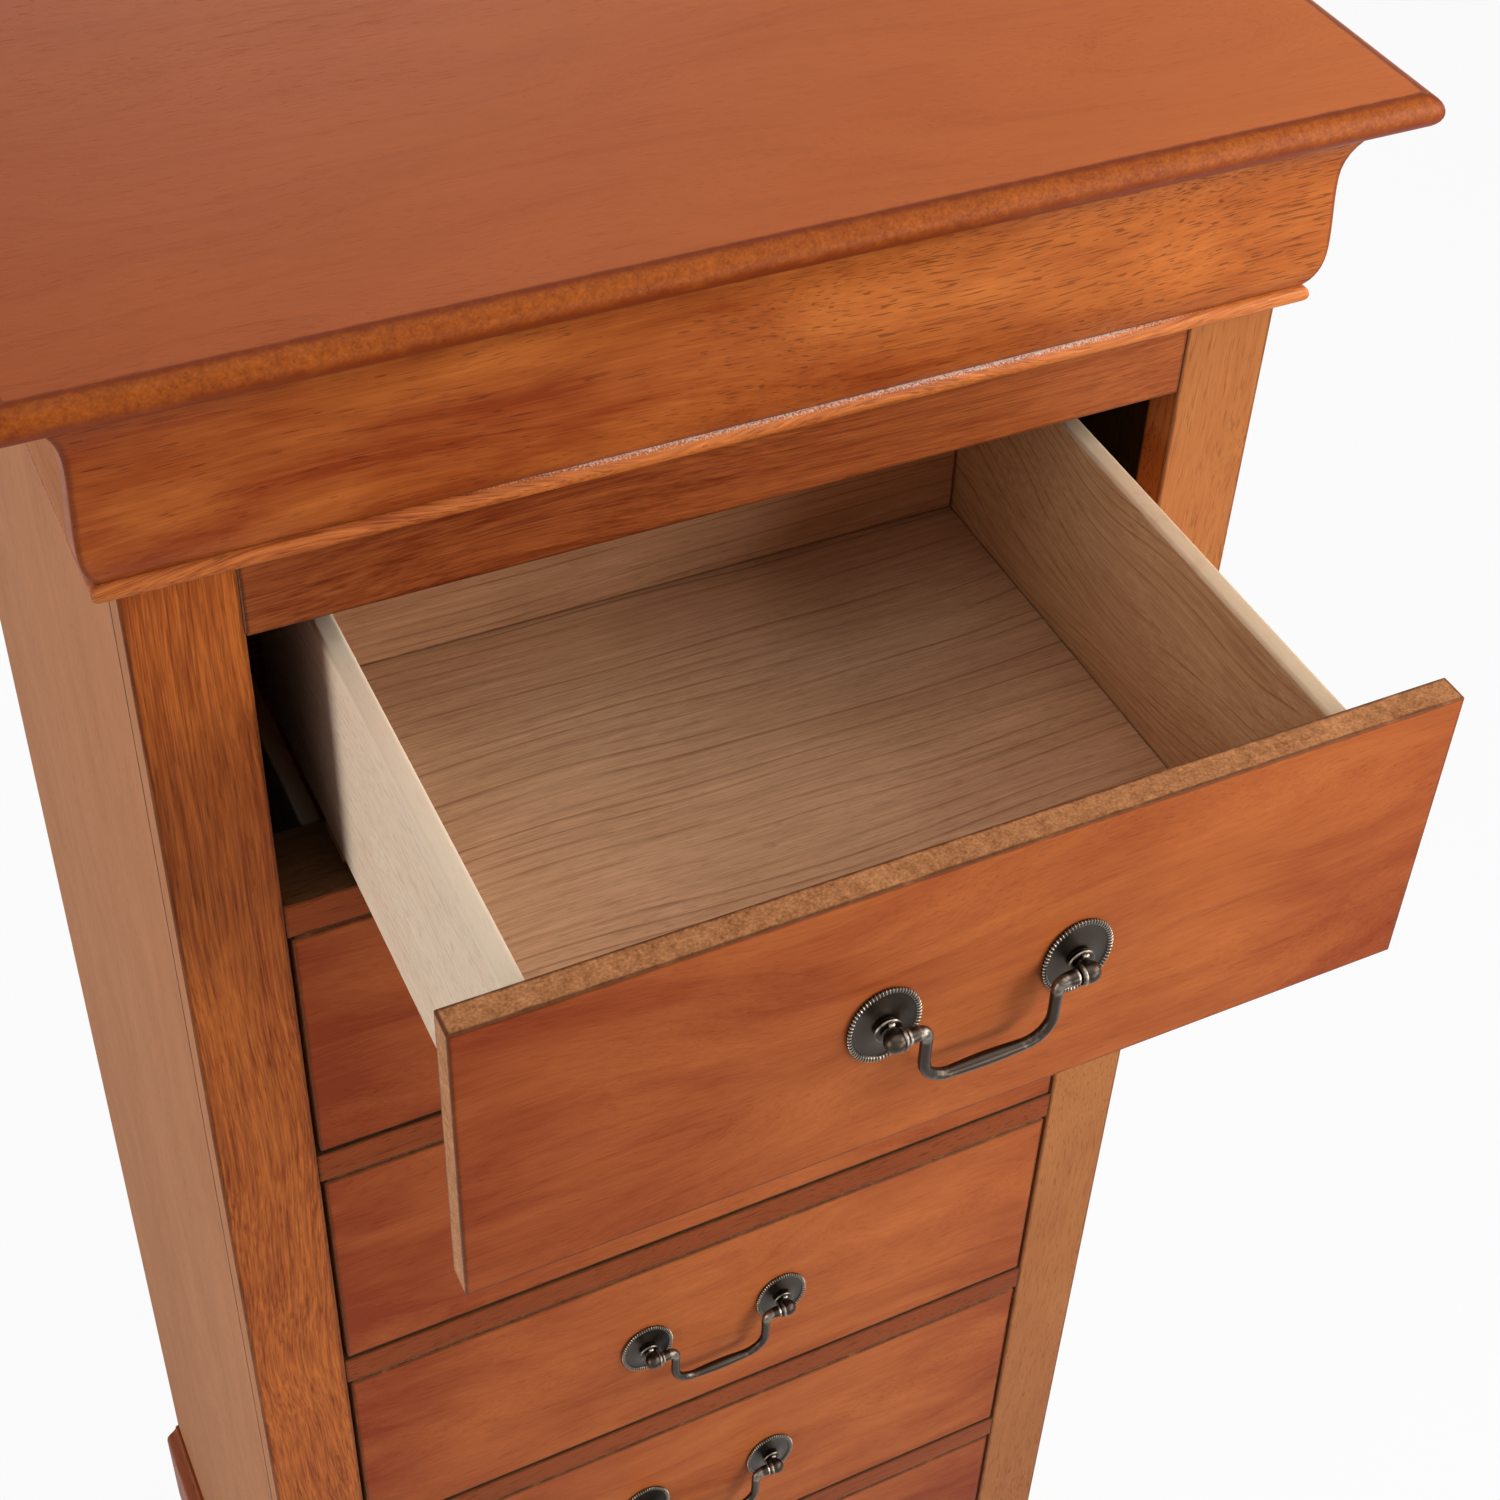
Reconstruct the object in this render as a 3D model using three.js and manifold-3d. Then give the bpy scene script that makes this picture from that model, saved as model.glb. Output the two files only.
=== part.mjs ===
// Lingerie chest: a tall, narrow chest of seven drawers, with an ogee crown, a face frame,
// a scalloped plinth and a bail pull on each drawer. The top drawer stands pulled out.
// Millimetres, +Z up. X runs across the front, +Y towards the back.

import * as THREE from 'three';
import { mergeVertices } from 'three/addons/utils/BufferGeometryUtils.js';
import Module from 'manifold-3d';

const wasm = await Module();
wasm.setup();

// Carcass
const CARCASS_WIDTH = 466;
const CARCASS_DEPTH = 412;
const STILE_WIDTH = 41;
const FRAME_THICKNESS = 18;
const RAIL_DEPTH = 40;
const SIDE_THICKNESS = 15;
const BACK_THICKNESS = 5;
const BACK_INSET = 2;
const STILE_EASING = 1.2;
const TOP_RAIL_SHOWN = 36.5;

// Crown, bead and top. A projection is measured out from the carcass.
const BEAD_HEIGHT = 7.5;
const BEAD_PROJECTION = 9.2;
const BEAD_ROOT = 5.4;
const CROWN_HEIGHT = 78.5;
const CROWN_FOOT = 6.2;
const CROWN_BELLY = 11.6;
const CROWN_BELLY_HEIGHT = 19;
const CROWN_WAIST = 10.3;
const CROWN_WAIST_HEIGHT = 50;
const CROWN_CAP = 23;
const CROWN_COVE_TURN = 0.55;
const TOP_THICKNESS = 14;
const TOP_OVERHANG = 34;

// Plinth
const PLINTH_HEIGHT = 90;
const PLINTH_THICKNESS = 18;
const PLINTH_PROJECTION = 10;
const PLINTH_LIP = 2;
const PLINTH_MOULDING = 14;
const FOOT_WIDTH = 92;
const FOOT_TOE_HEIGHT = 14;
const APRON_CLEARANCE = 48;
const SCALLOP_RUN = 46;
const SCALLOP_SHOULDER = 6;

// Drawers
const DRAWER_COUNT = 7;
const FRONT_HEIGHT = 134;
const FRONT_THICKNESS = 12;
const FRONT_EASING = 0.7;
const FRONT_SIDE_GAP = 2;
const FRONT_TOP_GAP = 2;
const FRONT_BOTTOM_GAP = 2.5;
const BOX_SIDE_THICKNESS = 9;
const BOX_SIDE_HEIGHT = 112;
const BOX_SIDE_INSET = 26.5;
const BOX_SIDE_RISE = 2.6;
const BOX_INNER_DEPTH = 283;
const BOX_EDGE_ROUND = 2;
const FLOOR_THICKNESS = 5;
const FLOOR_RISE = 10;
const GROOVE_DEPTH = 4;
const FLOOR_CLEARANCE = 0.2;
const TOP_DRAWER_PULLED = 194.5;

// Runners, guides and glides
const RUNNER_WIDTH = 30;
const RUNNER_SUNK = 8;
const RUNNER_CLEARANCE = 0.5;
const RUNNER_START = 14;
const GUIDE_WIDTH = 8;
const GUIDE_SIDE_CLEARANCE = 1;
const GUIDE_BOTTOM_CLEARANCE = 3;
const GLIDE_LENGTH = 22;
const GLIDE_CLEARANCE = 0.3;

// Pulls
const PULL_CENTRES = 76.2;
const PLATE_WIDTH = 28.6;
const PLATE_HEIGHT = 36.6;
const PLATE_THICKNESS = 1.2;
const PLATE_RIM = 1.3;
const PLATE_UNDERCUT = 0.5;
const PLATE_DISH = 0.2;
const PLATE_DOME = 0.8;
const STEM_FOOT_RADIUS = 4.2;
const STEM_RADIUS = 2.6;
const STEM_RING_RADIUS = 5.4;
const STEM_RING_OUT = 3.8;
const STEM_RING_REACH = 1.2;
const STUD_RADIUS = 1.3;
const STUD_OUT = 5.6;
const STUD_TOP = 6;
const PIVOT_OUT = 9;
const EYE_RADIUS = 4.4;
const EYE_SHOULDER_RADIUS = 4.1;
const EYE_HALF_LENGTH = 4.1;
const EYE_FACE_RADIUS = 3;
const PIN_RADIUS = 1.8;
const PIN_CLEARANCE = 0.4;
const PIN_DEPTH = 6;
const COLLAR_RADIUS = 3;
const COLLAR_LENGTH = 3.4;
const COLLAR_EASING = 0.4;
const BAIL_ARM_RADIUS = 2.3;
const BAIL_GRIP_RADIUS = 2.7;
const BAIL_ARMS = 51.4;
const BAIL_DROP = 27.5;
const BAIL_ELBOW = 3.4;
const BAIL_CORNER = 11;

// Working values: how far a cutter runs past what it cuts, how near two points count as one,
// and how many pieces a curve or a turned part is made of
const OVERCUT = 1;
const SAME_POINT = 1e-4;
const MOULDING_STEPS = 6;
const NOSE_STEPS = 5;
const BEAD_STEPS = 3;
const BEND_STEPS = 2;
const PLATE_SIDES = 20;
const TURNED_SIDES = 10;
const BAIL_SIDES = 8;

// Sizes and places that follow from the ones above
const halfCarcass = CARCASS_WIDTH / 2;
const halfOpening = halfCarcass - STILE_WIDTH;
const openingHeight = FRONT_HEIGHT + FRONT_TOP_GAP + FRONT_BOTTOM_GAP;
const drawerPitch = openingHeight + FRAME_THICKNESS;
const topRailBottom = PLINTH_HEIGHT + DRAWER_COUNT * drawerPitch;
const beadBottom = topRailBottom + TOP_RAIL_SHOWN;
const crownBottom = beadBottom + BEAD_HEIGHT;
const carcassTop = crownBottom + CROWN_HEIGHT;
const plinthBack = PLINTH_THICKNESS - PLINTH_PROJECTION;
const backPanelFront = CARCASS_DEPTH - BACK_INSET - BACK_THICKNESS;
const halfFront = halfOpening - FRONT_SIDE_GAP;
const halfBox = halfFront - BOX_SIDE_INSET;
const halfBoxInside = halfBox - BOX_SIDE_THICKNESS;
const boxInsideBack = FRONT_THICKNESS + BOX_INNER_DEPTH;
const boxBack = boxInsideBack + BOX_SIDE_THICKNESS;
const boxTop = BOX_SIDE_RISE + BOX_SIDE_HEIGHT;
const floorTop = FLOOR_RISE + FLOOR_THICKNESS;
const halfPull = PULL_CENTRES / 2;
const pullHeight = FRONT_HEIGHT / 2;

// Finishes
const cherry = finish(0xa8552a, 0.42, 0);
const cherryPost = finish(0x9c4a22, 0.45, 0);
const paleWood = finish(0xcbb08d, 0.6, 0);
const rawBoard = finish(0x8a6a48, 0.8, 0);
const bronze = finish(0x3a302a, 0.38, 0.9);

function finish(color, roughness, metalness) {
  return new THREE.MeshStandardMaterial({ color, roughness, metalness });
}

// Solids are joined and cut here, and handed back as three.js geometry.
function solid(geometry) {
  const bare = geometry.index ? geometry.toNonIndexed() : geometry.clone();
  bare.deleteAttribute('normal');
  bare.deleteAttribute('uv');
  const merged = mergeVertices(bare, SAME_POINT);
  return new wasm.Manifold(new wasm.Mesh({
    numProp: 3,
    vertProperties: Float32Array.from(merged.attributes.position.array),
    triVerts: Uint32Array.from(merged.index.array),
  }));
}

function geometryOf(manifold) {
  const mesh = manifold.getMesh();
  const geometry = new THREE.BufferGeometry();
  geometry.setAttribute('position', new THREE.BufferAttribute(mesh.vertProperties, 3));
  geometry.setIndex(new THREE.BufferAttribute(mesh.triVerts, 1));
  geometry.computeVertexNormals();
  return geometry;
}

function join(...geometries) {
  return geometryOf(geometries.map(solid).reduce((sum, next) => sum.add(next)));
}

function cut(geometry, ...cutters) {
  return geometryOf(cutters.map(solid).reduce((rest, next) => rest.subtract(next), solid(geometry)));
}

function common(...geometries) {
  return geometryOf(geometries.map(solid).reduce((shared, next) => shared.intersect(next)));
}

function block([x0, x1], [y0, y1], [z0, z1]) {
  const geometry = new THREE.BoxGeometry(x1 - x0, y1 - y0, z1 - z0);
  return geometry.translate((x0 + x1) / 2, (y0 + y1) / 2, (z0 + z1) / 2);
}

// An outline in (y, z) run along X
function alongX(outline, x0, x1) {
  const turn = new THREE.Matrix4().makeBasis(
    new THREE.Vector3(0, 1, 0), new THREE.Vector3(0, 0, 1), new THREE.Vector3(1, 0, 0));
  const geometry = new THREE.ExtrudeGeometry(outline, { depth: x1 - x0, bevelEnabled: false });
  return geometry.applyMatrix4(turn).translate(x0, 0, 0);
}

// An outline in (x, z) run along Y
function alongY(outline, y0, y1, bevel = { bevelEnabled: false }) {
  const turn = new THREE.Matrix4().makeBasis(
    new THREE.Vector3(1, 0, 0), new THREE.Vector3(0, 0, 1), new THREE.Vector3(0, -1, 0));
  const geometry = new THREE.ExtrudeGeometry(outline, { depth: y1 - y0, ...bevel });
  return geometry.applyMatrix4(turn).translate(0, y1, 0);
}

// An outline in (x, y) run up Z
function alongZ(outline, z0, z1) {
  const geometry = new THREE.ExtrudeGeometry(outline, { depth: z1 - z0, bevelEnabled: false });
  return geometry.translate(0, 0, z0);
}

function polygon(points) {
  return new THREE.Shape(points.map(([u, v]) => new THREE.Vector2(u, v)));
}

function rectangle(u0, u1, v0, v1) {
  return polygon([[u0, v0], [u1, v0], [u1, v1], [u0, v1]]);
}

// A moulding is given by its edge: points of (projection, height), from the bottom up.
// The front run carries the edge on its front and on both ends, as a mitred corner would.
function frontRun(edge, back, bottom) {
  const heights = edge.map(([, z]) => bottom + z);
  const section = edge.map(([out], i) => [-out, heights[i]]);
  section.push([back, heights.at(-1)], [back, heights[0]]);
  const rightEnd = edge.map(([out], i) => [halfCarcass + out, heights[i]]);
  const leftEnd = edge.map(([out], i) => [-halfCarcass - out, heights[i]]).reverse();
  const reach = Math.max(...edge.map(([out]) => out));
  return common(
    alongX(polygon(section.reverse()), -halfCarcass - reach - OVERCUT, halfCarcass + reach + OVERCUT),
    alongY(polygon([...rightEnd, ...leftEnd]), -reach - OVERCUT, back),
  );
}

// The side run stands out from one side of the carcass, from y0 to y1.
function sideRun(edge, side, inner, bottom, y0, y1) {
  const outer = edge.map(([out, z]) => [side * (halfCarcass + out), bottom + z]);
  const foot = outer[0][1];
  const head = outer.at(-1)[1];
  const outline = [...outer, [side * inner, head], [side * inner, foot]];
  return alongY(polygon(side > 0 ? outline : outline.reverse()), y0, y1);
}

// The crown's edge: a swelling belly, a shallow waist and a cove out to the top board
function crownEdge() {
  const edge = new THREE.Path();
  edge.moveTo(CROWN_FOOT, 0);
  edge.quadraticCurveTo(CROWN_BELLY, CROWN_BELLY_HEIGHT / 3, CROWN_BELLY, CROWN_BELLY_HEIGHT);
  const swell = (CROWN_WAIST_HEIGHT - CROWN_BELLY_HEIGHT) / 3;
  edge.bezierCurveTo(CROWN_BELLY, CROWN_BELLY_HEIGHT + swell,
    CROWN_WAIST, CROWN_WAIST_HEIGHT - swell, CROWN_WAIST, CROWN_WAIST_HEIGHT);
  const cove = CROWN_HEIGHT - CROWN_WAIST_HEIGHT;
  edge.quadraticCurveTo(CROWN_WAIST, CROWN_WAIST_HEIGHT + cove * CROWN_COVE_TURN, CROWN_CAP, CROWN_HEIGHT);
  return edge.getPoints(MOULDING_STEPS).map(({ x, y }) => [x, y]);
}

// The bead's edge: a small half-round nose
function beadEdge() {
  const nose = BEAD_HEIGHT / 2;
  const reach = BEAD_PROJECTION - BEAD_ROOT;
  const edge = new THREE.Path();
  edge.absellipse(BEAD_ROOT, nose, reach, nose, -Math.PI / 2, Math.PI / 2, false, 0);
  return edge.getPoints(BEAD_STEPS).map(({ x, y }) => [x, y]);
}

// The bead runs round the front and both sides, and stops at the carcass's back edge.
function beadMoulding() {
  const carcass = block([-halfCarcass, halfCarcass], [0, CARCASS_DEPTH + OVERCUT],
    [beadBottom - OVERCUT, crownBottom + OVERCUT]);
  return cut(frontRun(beadEdge(), CARCASS_DEPTH, beadBottom), carcass);
}

// The top board's edge: a full bullnose
function topEdge() {
  const nose = TOP_THICKNESS / 2;
  const edge = new THREE.Path();
  edge.absarc(TOP_OVERHANG - nose, nose, nose, -Math.PI / 2, Math.PI / 2, false);
  return edge.getPoints(NOSE_STEPS).map(({ x, y }) => [x, y]);
}

// The plinth's edge: a plain face that sweeps in to a lip under the carcass
function plinthEdge() {
  const edge = new THREE.Path();
  edge.moveTo(PLINTH_PROJECTION, 0);
  edge.lineTo(PLINTH_PROJECTION, PLINTH_HEIGHT - PLINTH_MOULDING);
  edge.bezierCurveTo(PLINTH_PROJECTION, PLINTH_HEIGHT - PLINTH_MOULDING / 2,
    PLINTH_LIP, PLINTH_HEIGHT - PLINTH_MOULDING / 2, PLINTH_LIP, PLINTH_HEIGHT);
  return edge.getPoints(MOULDING_STEPS).map(({ x, y }) => [x, y]);
}

// A plinth board's face: a bracket foot at each end, scalloped up to the apron
function bracketOutline(start, end) {
  const face = new THREE.Shape();
  const toe = start + FOOT_WIDTH;
  const heel = end - FOOT_WIDTH;
  const quarter = SCALLOP_RUN / 4;
  const middle = (FOOT_TOE_HEIGHT + APRON_CLEARANCE) / 2;
  const shoulder = APRON_CLEARANCE - SCALLOP_SHOULDER;
  face.moveTo(start, PLINTH_HEIGHT);
  face.lineTo(start, 0);
  face.lineTo(toe, 0);
  face.bezierCurveTo(toe, FOOT_TOE_HEIGHT, toe + quarter, middle, toe + 2 * quarter, middle);
  face.bezierCurveTo(toe + 3 * quarter, middle, toe + 4 * quarter, shoulder,
    toe + 4 * quarter, APRON_CLEARANCE);
  face.lineTo(heel - 4 * quarter, APRON_CLEARANCE);
  face.bezierCurveTo(heel - 4 * quarter, shoulder, heel - 3 * quarter, middle, heel - 2 * quarter, middle);
  face.bezierCurveTo(heel - quarter, middle, heel, FOOT_TOE_HEIGHT, heel, 0);
  face.lineTo(end, 0);
  face.lineTo(end, PLINTH_HEIGHT);
  return face;
}

function plinthFront() {
  const reach = halfCarcass + PLINTH_PROJECTION;
  const face = alongY(bracketOutline(-reach, reach), -PLINTH_PROJECTION, plinthBack);
  return common(frontRun(plinthEdge(), plinthBack, 0), face);
}

function plinthSide(side) {
  const inner = halfCarcass - plinthBack;
  const run = sideRun(plinthEdge(), side, inner, 0, plinthBack, CARCASS_DEPTH);
  const reach = halfCarcass + PLINTH_PROJECTION;
  const sides = [side * inner, side * reach].sort((a, b) => a - b);
  return common(run, alongX(bracketOutline(-PLINTH_PROJECTION, CARCASS_DEPTH), ...sides));
}

function plinthBackBoard() {
  const inner = halfCarcass - plinthBack;
  return block([-inner, inner], [CARCASS_DEPTH - FRAME_THICKNESS, CARCASS_DEPTH],
    [APRON_CLEARANCE, PLINTH_HEIGHT]);
}

function stile(side) {
  const outer = side * halfCarcass;
  const inner = side * halfOpening;
  const section = [
    [inner, 0], [outer - side * STILE_EASING, 0], [outer, STILE_EASING],
    [outer, FRAME_THICKNESS], [inner, FRAME_THICKNESS],
  ];
  return alongZ(polygon(side > 0 ? section : section.reverse()), PLINTH_HEIGHT, carcassTop);
}

// A rail carries its centre runner and a glide block under each drawer side.
function railWithRunner(bottom) {
  const top = bottom + FRAME_THICKNESS;
  const floorUnderside = top + FRONT_BOTTOM_GAP + FLOOR_RISE;
  const sideUnderside = top + FRONT_BOTTOM_GAP + BOX_SIDE_RISE;
  const rail = block([-halfOpening, halfOpening], [0, RAIL_DEPTH], [bottom, top]);
  const runner = block([-RUNNER_WIDTH / 2, RUNNER_WIDTH / 2], [RUNNER_START, backPanelFront],
    [top - RUNNER_SUNK, floorUnderside - RUNNER_CLEARANCE]);
  const glides = [-1, 1].map((side) => {
    const reach = [side * halfBoxInside, side * halfBox].sort((a, b) => a - b);
    return block(reach, [RUNNER_START, RUNNER_START + GLIDE_LENGTH],
      [top - RUNNER_SUNK, sideUnderside - GLIDE_CLEARANCE]);
  });
  return join(rail, runner, ...glides);
}

function topRail() {
  return block([-halfOpening, halfOpening], [0, FRAME_THICKNESS], [topRailBottom, carcassTop]);
}

function sidePanel(side) {
  const reach = [side * (halfCarcass - SIDE_THICKNESS), side * halfCarcass].sort((a, b) => a - b);
  return block(reach, [FRAME_THICKNESS, CARCASS_DEPTH], [PLINTH_HEIGHT, carcassTop]);
}

function backPanel() {
  const inner = halfCarcass - SIDE_THICKNESS;
  return block([-inner, inner], [backPanelFront, backPanelFront + BACK_THICKNESS],
    [PLINTH_HEIGHT, carcassTop]);
}

// Drawers stand with the bottom edge of the front at z = 0 and its face at y = 0.
function drawerFront() {
  const ease = FRONT_EASING;
  const face = rectangle(-halfFront + ease, halfFront - ease, ease, FRONT_HEIGHT - ease);
  const board = alongY(face, ease, FRONT_THICKNESS - ease,
    { bevelEnabled: true, bevelThickness: ease, bevelSize: ease, bevelSegments: 1 });
  const slot = halfBoxInside + GROOVE_DEPTH;
  const groove = block([-slot, slot], [FRONT_THICKNESS - GROOVE_DEPTH, FRONT_THICKNESS + OVERCUT],
    [FLOOR_RISE - FLOOR_CLEARANCE, floorTop + FLOOR_CLEARANCE]);
  return cut(board, groove);
}

// A side board with rounded top edges, and a groove where the bottom slides in
function boxSide(side, grooved) {
  const inner = halfBoxInside;
  const outer = halfBox;
  const round = BOX_EDGE_ROUND;
  const section = new THREE.Shape();
  section.moveTo(outer, BOX_SIDE_RISE);
  section.lineTo(outer, boxTop - round);
  section.absarc(outer - round, boxTop - round, round, 0, Math.PI / 2, false);
  section.lineTo(inner + round, boxTop);
  section.absarc(inner + round, boxTop - round, round, Math.PI / 2, Math.PI, false);
  if (grooved) {
    const depth = inner + GROOVE_DEPTH;
    section.lineTo(inner, floorTop + FLOOR_CLEARANCE);
    section.lineTo(depth, floorTop + FLOOR_CLEARANCE);
    section.lineTo(depth, FLOOR_RISE - FLOOR_CLEARANCE);
    section.lineTo(inner, FLOOR_RISE - FLOOR_CLEARANCE);
  }
  section.lineTo(inner, BOX_SIDE_RISE);
  const points = section.getPoints(BEND_STEPS).map(({ x, y }) => [side * x, y]);
  return alongY(polygon(side > 0 ? points : points.reverse()), FRONT_THICKNESS, boxBack);
}

function boxBackBoard() {
  return block([-halfBoxInside, halfBoxInside], [boxInsideBack, boxBack], [floorTop, boxTop]);
}

// The bottom carries two strips, which straddle the runner.
function boxFloor(halfWidth) {
  const front = FRONT_THICKNESS - GROOVE_DEPTH + FLOOR_CLEARANCE;
  const board = block([-halfWidth, halfWidth], [front, boxBack], [FLOOR_RISE, floorTop]);
  const near = RUNNER_WIDTH / 2 + GUIDE_SIDE_CLEARANCE;
  const strips = [-1, 1].map((side) => {
    const reach = [side * near, side * (near + GUIDE_WIDTH)].sort((a, b) => a - b);
    return block(reach, [RUNNER_START, boxBack],
      [GUIDE_BOTTOM_CLEARANCE, floorTop - FLOOR_THICKNESS / 2]);
  });
  return join(board, ...strips);
}

function wholeBox() {
  return join(boxSide(-1, false), boxSide(1, false), boxBackBoard(), boxFloor(halfBoxInside));
}

// A pull's post: an oval plate with a raised rim, a ringed stem with a small stud on top,
// and an eye for the bail's pin.
// It stands on y = 0 and points along -Y.
function pullPost(side) {
  const rim = PLATE_WIDTH / 2;
  const plate = revolve([
    [0, 0], [rim - PLATE_UNDERCUT, 0], [rim, PLATE_THICKNESS],
    [rim - PLATE_RIM / 2, PLATE_THICKNESS + PLATE_RIM / 2],
    [rim - 2 * PLATE_RIM, PLATE_THICKNESS - PLATE_DISH],
    [rim / 2, PLATE_THICKNESS + PLATE_DISH], [0, PLATE_THICKNESS + PLATE_DOME],
  ], PLATE_SIDES).scale(1, 1, PLATE_HEIGHT / PLATE_WIDTH);
  const stem = revolve([
    [0, PLATE_THICKNESS / 2], [STEM_FOOT_RADIUS, PLATE_THICKNESS / 2],
    [STEM_RADIUS, STEM_RING_OUT - STEM_RING_REACH], [STEM_RING_RADIUS, STEM_RING_OUT],
    [STEM_RADIUS, STEM_RING_OUT + STEM_RING_REACH], [STEM_RADIUS, PIVOT_OUT], [0, PIVOT_OUT],
  ], TURNED_SIDES);
  const eye = revolve([
    [0, -EYE_HALF_LENGTH], [EYE_FACE_RADIUS, -EYE_HALF_LENGTH],
    [EYE_SHOULDER_RADIUS, -EYE_HALF_LENGTH / 2], [EYE_RADIUS, 0], [EYE_SHOULDER_RADIUS, EYE_HALF_LENGTH / 2],
    [EYE_FACE_RADIUS, EYE_HALF_LENGTH], [0, EYE_HALF_LENGTH],
  ], TURNED_SIDES).rotateZ(-Math.PI / 2).translate(0, PIVOT_OUT, 0);
  const stud = new THREE.CylinderGeometry(STUD_RADIUS, STUD_RADIUS, STUD_TOP, TURNED_SIDES)
    .rotateX(-Math.PI / 2).translate(0, STUD_OUT, -STUD_TOP / 2);
  const boreRadius = PIN_RADIUS + PIN_CLEARANCE;
  const boreLength = PIN_DEPTH + PIN_CLEARANCE + OVERCUT;
  const boreCentre = -side * (EYE_HALF_LENGTH + OVERCUT - boreLength / 2);
  const bore = new THREE.CylinderGeometry(boreRadius, boreRadius, boreLength, TURNED_SIDES)
    .rotateZ(-Math.PI / 2).translate(boreCentre, PIVOT_OUT, 0);
  return cut(join(plate, stem, eye, stud), bore).rotateX(Math.PI);
}

// A profile of (radius, height) turned about Y
function revolve(profile, segments) {
  return new THREE.LatheGeometry(profile.map(([r, y]) => new THREE.Vector2(r, y)), segments);
}

// Half of the bail's centre line, from the pin's end down the arm to the middle of the grip
function bailHalf() {
  const eyeFace = halfPull - EYE_HALF_LENGTH;
  const pinEnd = eyeFace + PIN_DEPTH;
  const collarStart = eyeFace - PIN_CLEARANCE;
  const arm = BAIL_ARMS / 2;
  const stations = [
    [pinEnd, 0, PIN_RADIUS], [collarStart, 0, PIN_RADIUS], [collarStart, 0, COLLAR_RADIUS - COLLAR_EASING],
    [collarStart - COLLAR_EASING, 0, COLLAR_RADIUS], [collarStart - COLLAR_LENGTH, 0, COLLAR_RADIUS],
  ];
  const elbow = new THREE.Path();
  elbow.absarc(arm + BAIL_ELBOW, -BAIL_ELBOW, BAIL_ELBOW, Math.PI / 2, Math.PI, false);
  for (const { x, y } of elbow.getPoints(BEND_STEPS)) stations.push([x, y, BAIL_ARM_RADIUS]);
  const corner = new THREE.Path();
  corner.absarc(arm - BAIL_CORNER, BAIL_CORNER - BAIL_DROP, BAIL_CORNER, 0, -Math.PI / 2, true);
  for (const { x, y } of corner.getPoints(BEND_STEPS)) stations.push([x, y, BAIL_ARM_RADIUS]);
  stations.push([(arm - BAIL_CORNER) / 2, -BAIL_DROP, (BAIL_ARM_RADIUS + BAIL_GRIP_RADIUS) / 2]);
  stations.push([0, -BAIL_DROP, BAIL_GRIP_RADIUS]);
  return stations;
}

// The bail is a bar of changing thickness: rings of points along its centre line, joined and capped.
function bail() {
  const half = bailHalf();
  const stations = [...half, ...half.slice(0, -1).reverse().map(([x, z, r]) => [-x, z, r])];
  const positions = [];
  stations.forEach(([x, z, radius], i) => {
    const [ax, az] = neighbourPlace(stations, i, -1);
    const [bx, bz] = neighbourPlace(stations, i, 1);
    const tangent = new THREE.Vector2(bx - ax, bz - az).normalize();
    for (let k = 0; k < BAIL_SIDES; k += 1) {
      const angle = (2 * Math.PI * (k + 0.5)) / BAIL_SIDES;
      const across = radius * Math.cos(angle);
      positions.push(x - tangent.y * across, -radius * Math.sin(angle), z + tangent.x * across);
    }
  });
  const faces = [];
  for (let i = 0; i + 1 < stations.length; i += 1) {
    for (let k = 0; k < BAIL_SIDES; k += 1) {
      const a = i * BAIL_SIDES + k;
      const b = i * BAIL_SIDES + ((k + 1) % BAIL_SIDES);
      faces.push(a, b, b + BAIL_SIDES, a, b + BAIL_SIDES, a + BAIL_SIDES);
    }
  }
  const last = (stations.length - 1) * BAIL_SIDES;
  for (let k = 1; k + 1 < BAIL_SIDES; k += 1) {
    faces.push(0, k + 1, k, last, last + k, last + k + 1);
  }
  const geometry = new THREE.BufferGeometry();
  geometry.setAttribute('position', new THREE.Float32BufferAttribute(positions, 3));
  geometry.setIndex(faces);
  geometry.computeVertexNormals();
  return geometry;
}

// The nearest station before or after this one that lies somewhere else on the centre line
function neighbourPlace(stations, index, step) {
  let i = index;
  while (stations[i + step] && sameSpot(stations[i], stations[index])) i += step;
  return stations[i];
}

function sameSpot([ax, az], [bx, bz]) {
  return Math.hypot(ax - bx, az - bz) < SAME_POINT;
}

// The assembly
const chest = new THREE.Group();

function add(parent, name, geometry, material, place = [0, 0, 0]) {
  const mesh = new THREE.Mesh(geometry, material);
  mesh.name = name;
  mesh.position.set(...place);
  parent.add(mesh);
}

add(chest, 'top_board', frontRun(topEdge(), CARCASS_DEPTH, carcassTop), cherry);
add(chest, 'crown_front', frontRun(crownEdge(), 0, crownBottom), cherry);
add(chest, 'bead_moulding', beadMoulding(), cherry);
add(chest, 'top_rail', topRail(), cherry);
add(chest, 'back_panel', backPanel(), rawBoard);
add(chest, 'plinth_front', plinthFront(), cherry);
add(chest, 'plinth_back', plinthBackBoard(), rawBoard);

for (const [hand, side] of [['left', -1], ['right', 1]]) {
  add(chest, `crown_${hand}`, sideRun(crownEdge(), side, halfCarcass, crownBottom, 0, CARCASS_DEPTH), cherry);
  add(chest, `stile_${hand}`, stile(side), cherryPost);
  add(chest, `side_panel_${hand}`, sidePanel(side), cherry);
  add(chest, `plinth_${hand}`, plinthSide(side), cherry);
}

const front = drawerFront();
const box = wholeBox();
const bailBar = bail();
const posts = { left: pullPost(-1), right: pullPost(1) };

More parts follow.
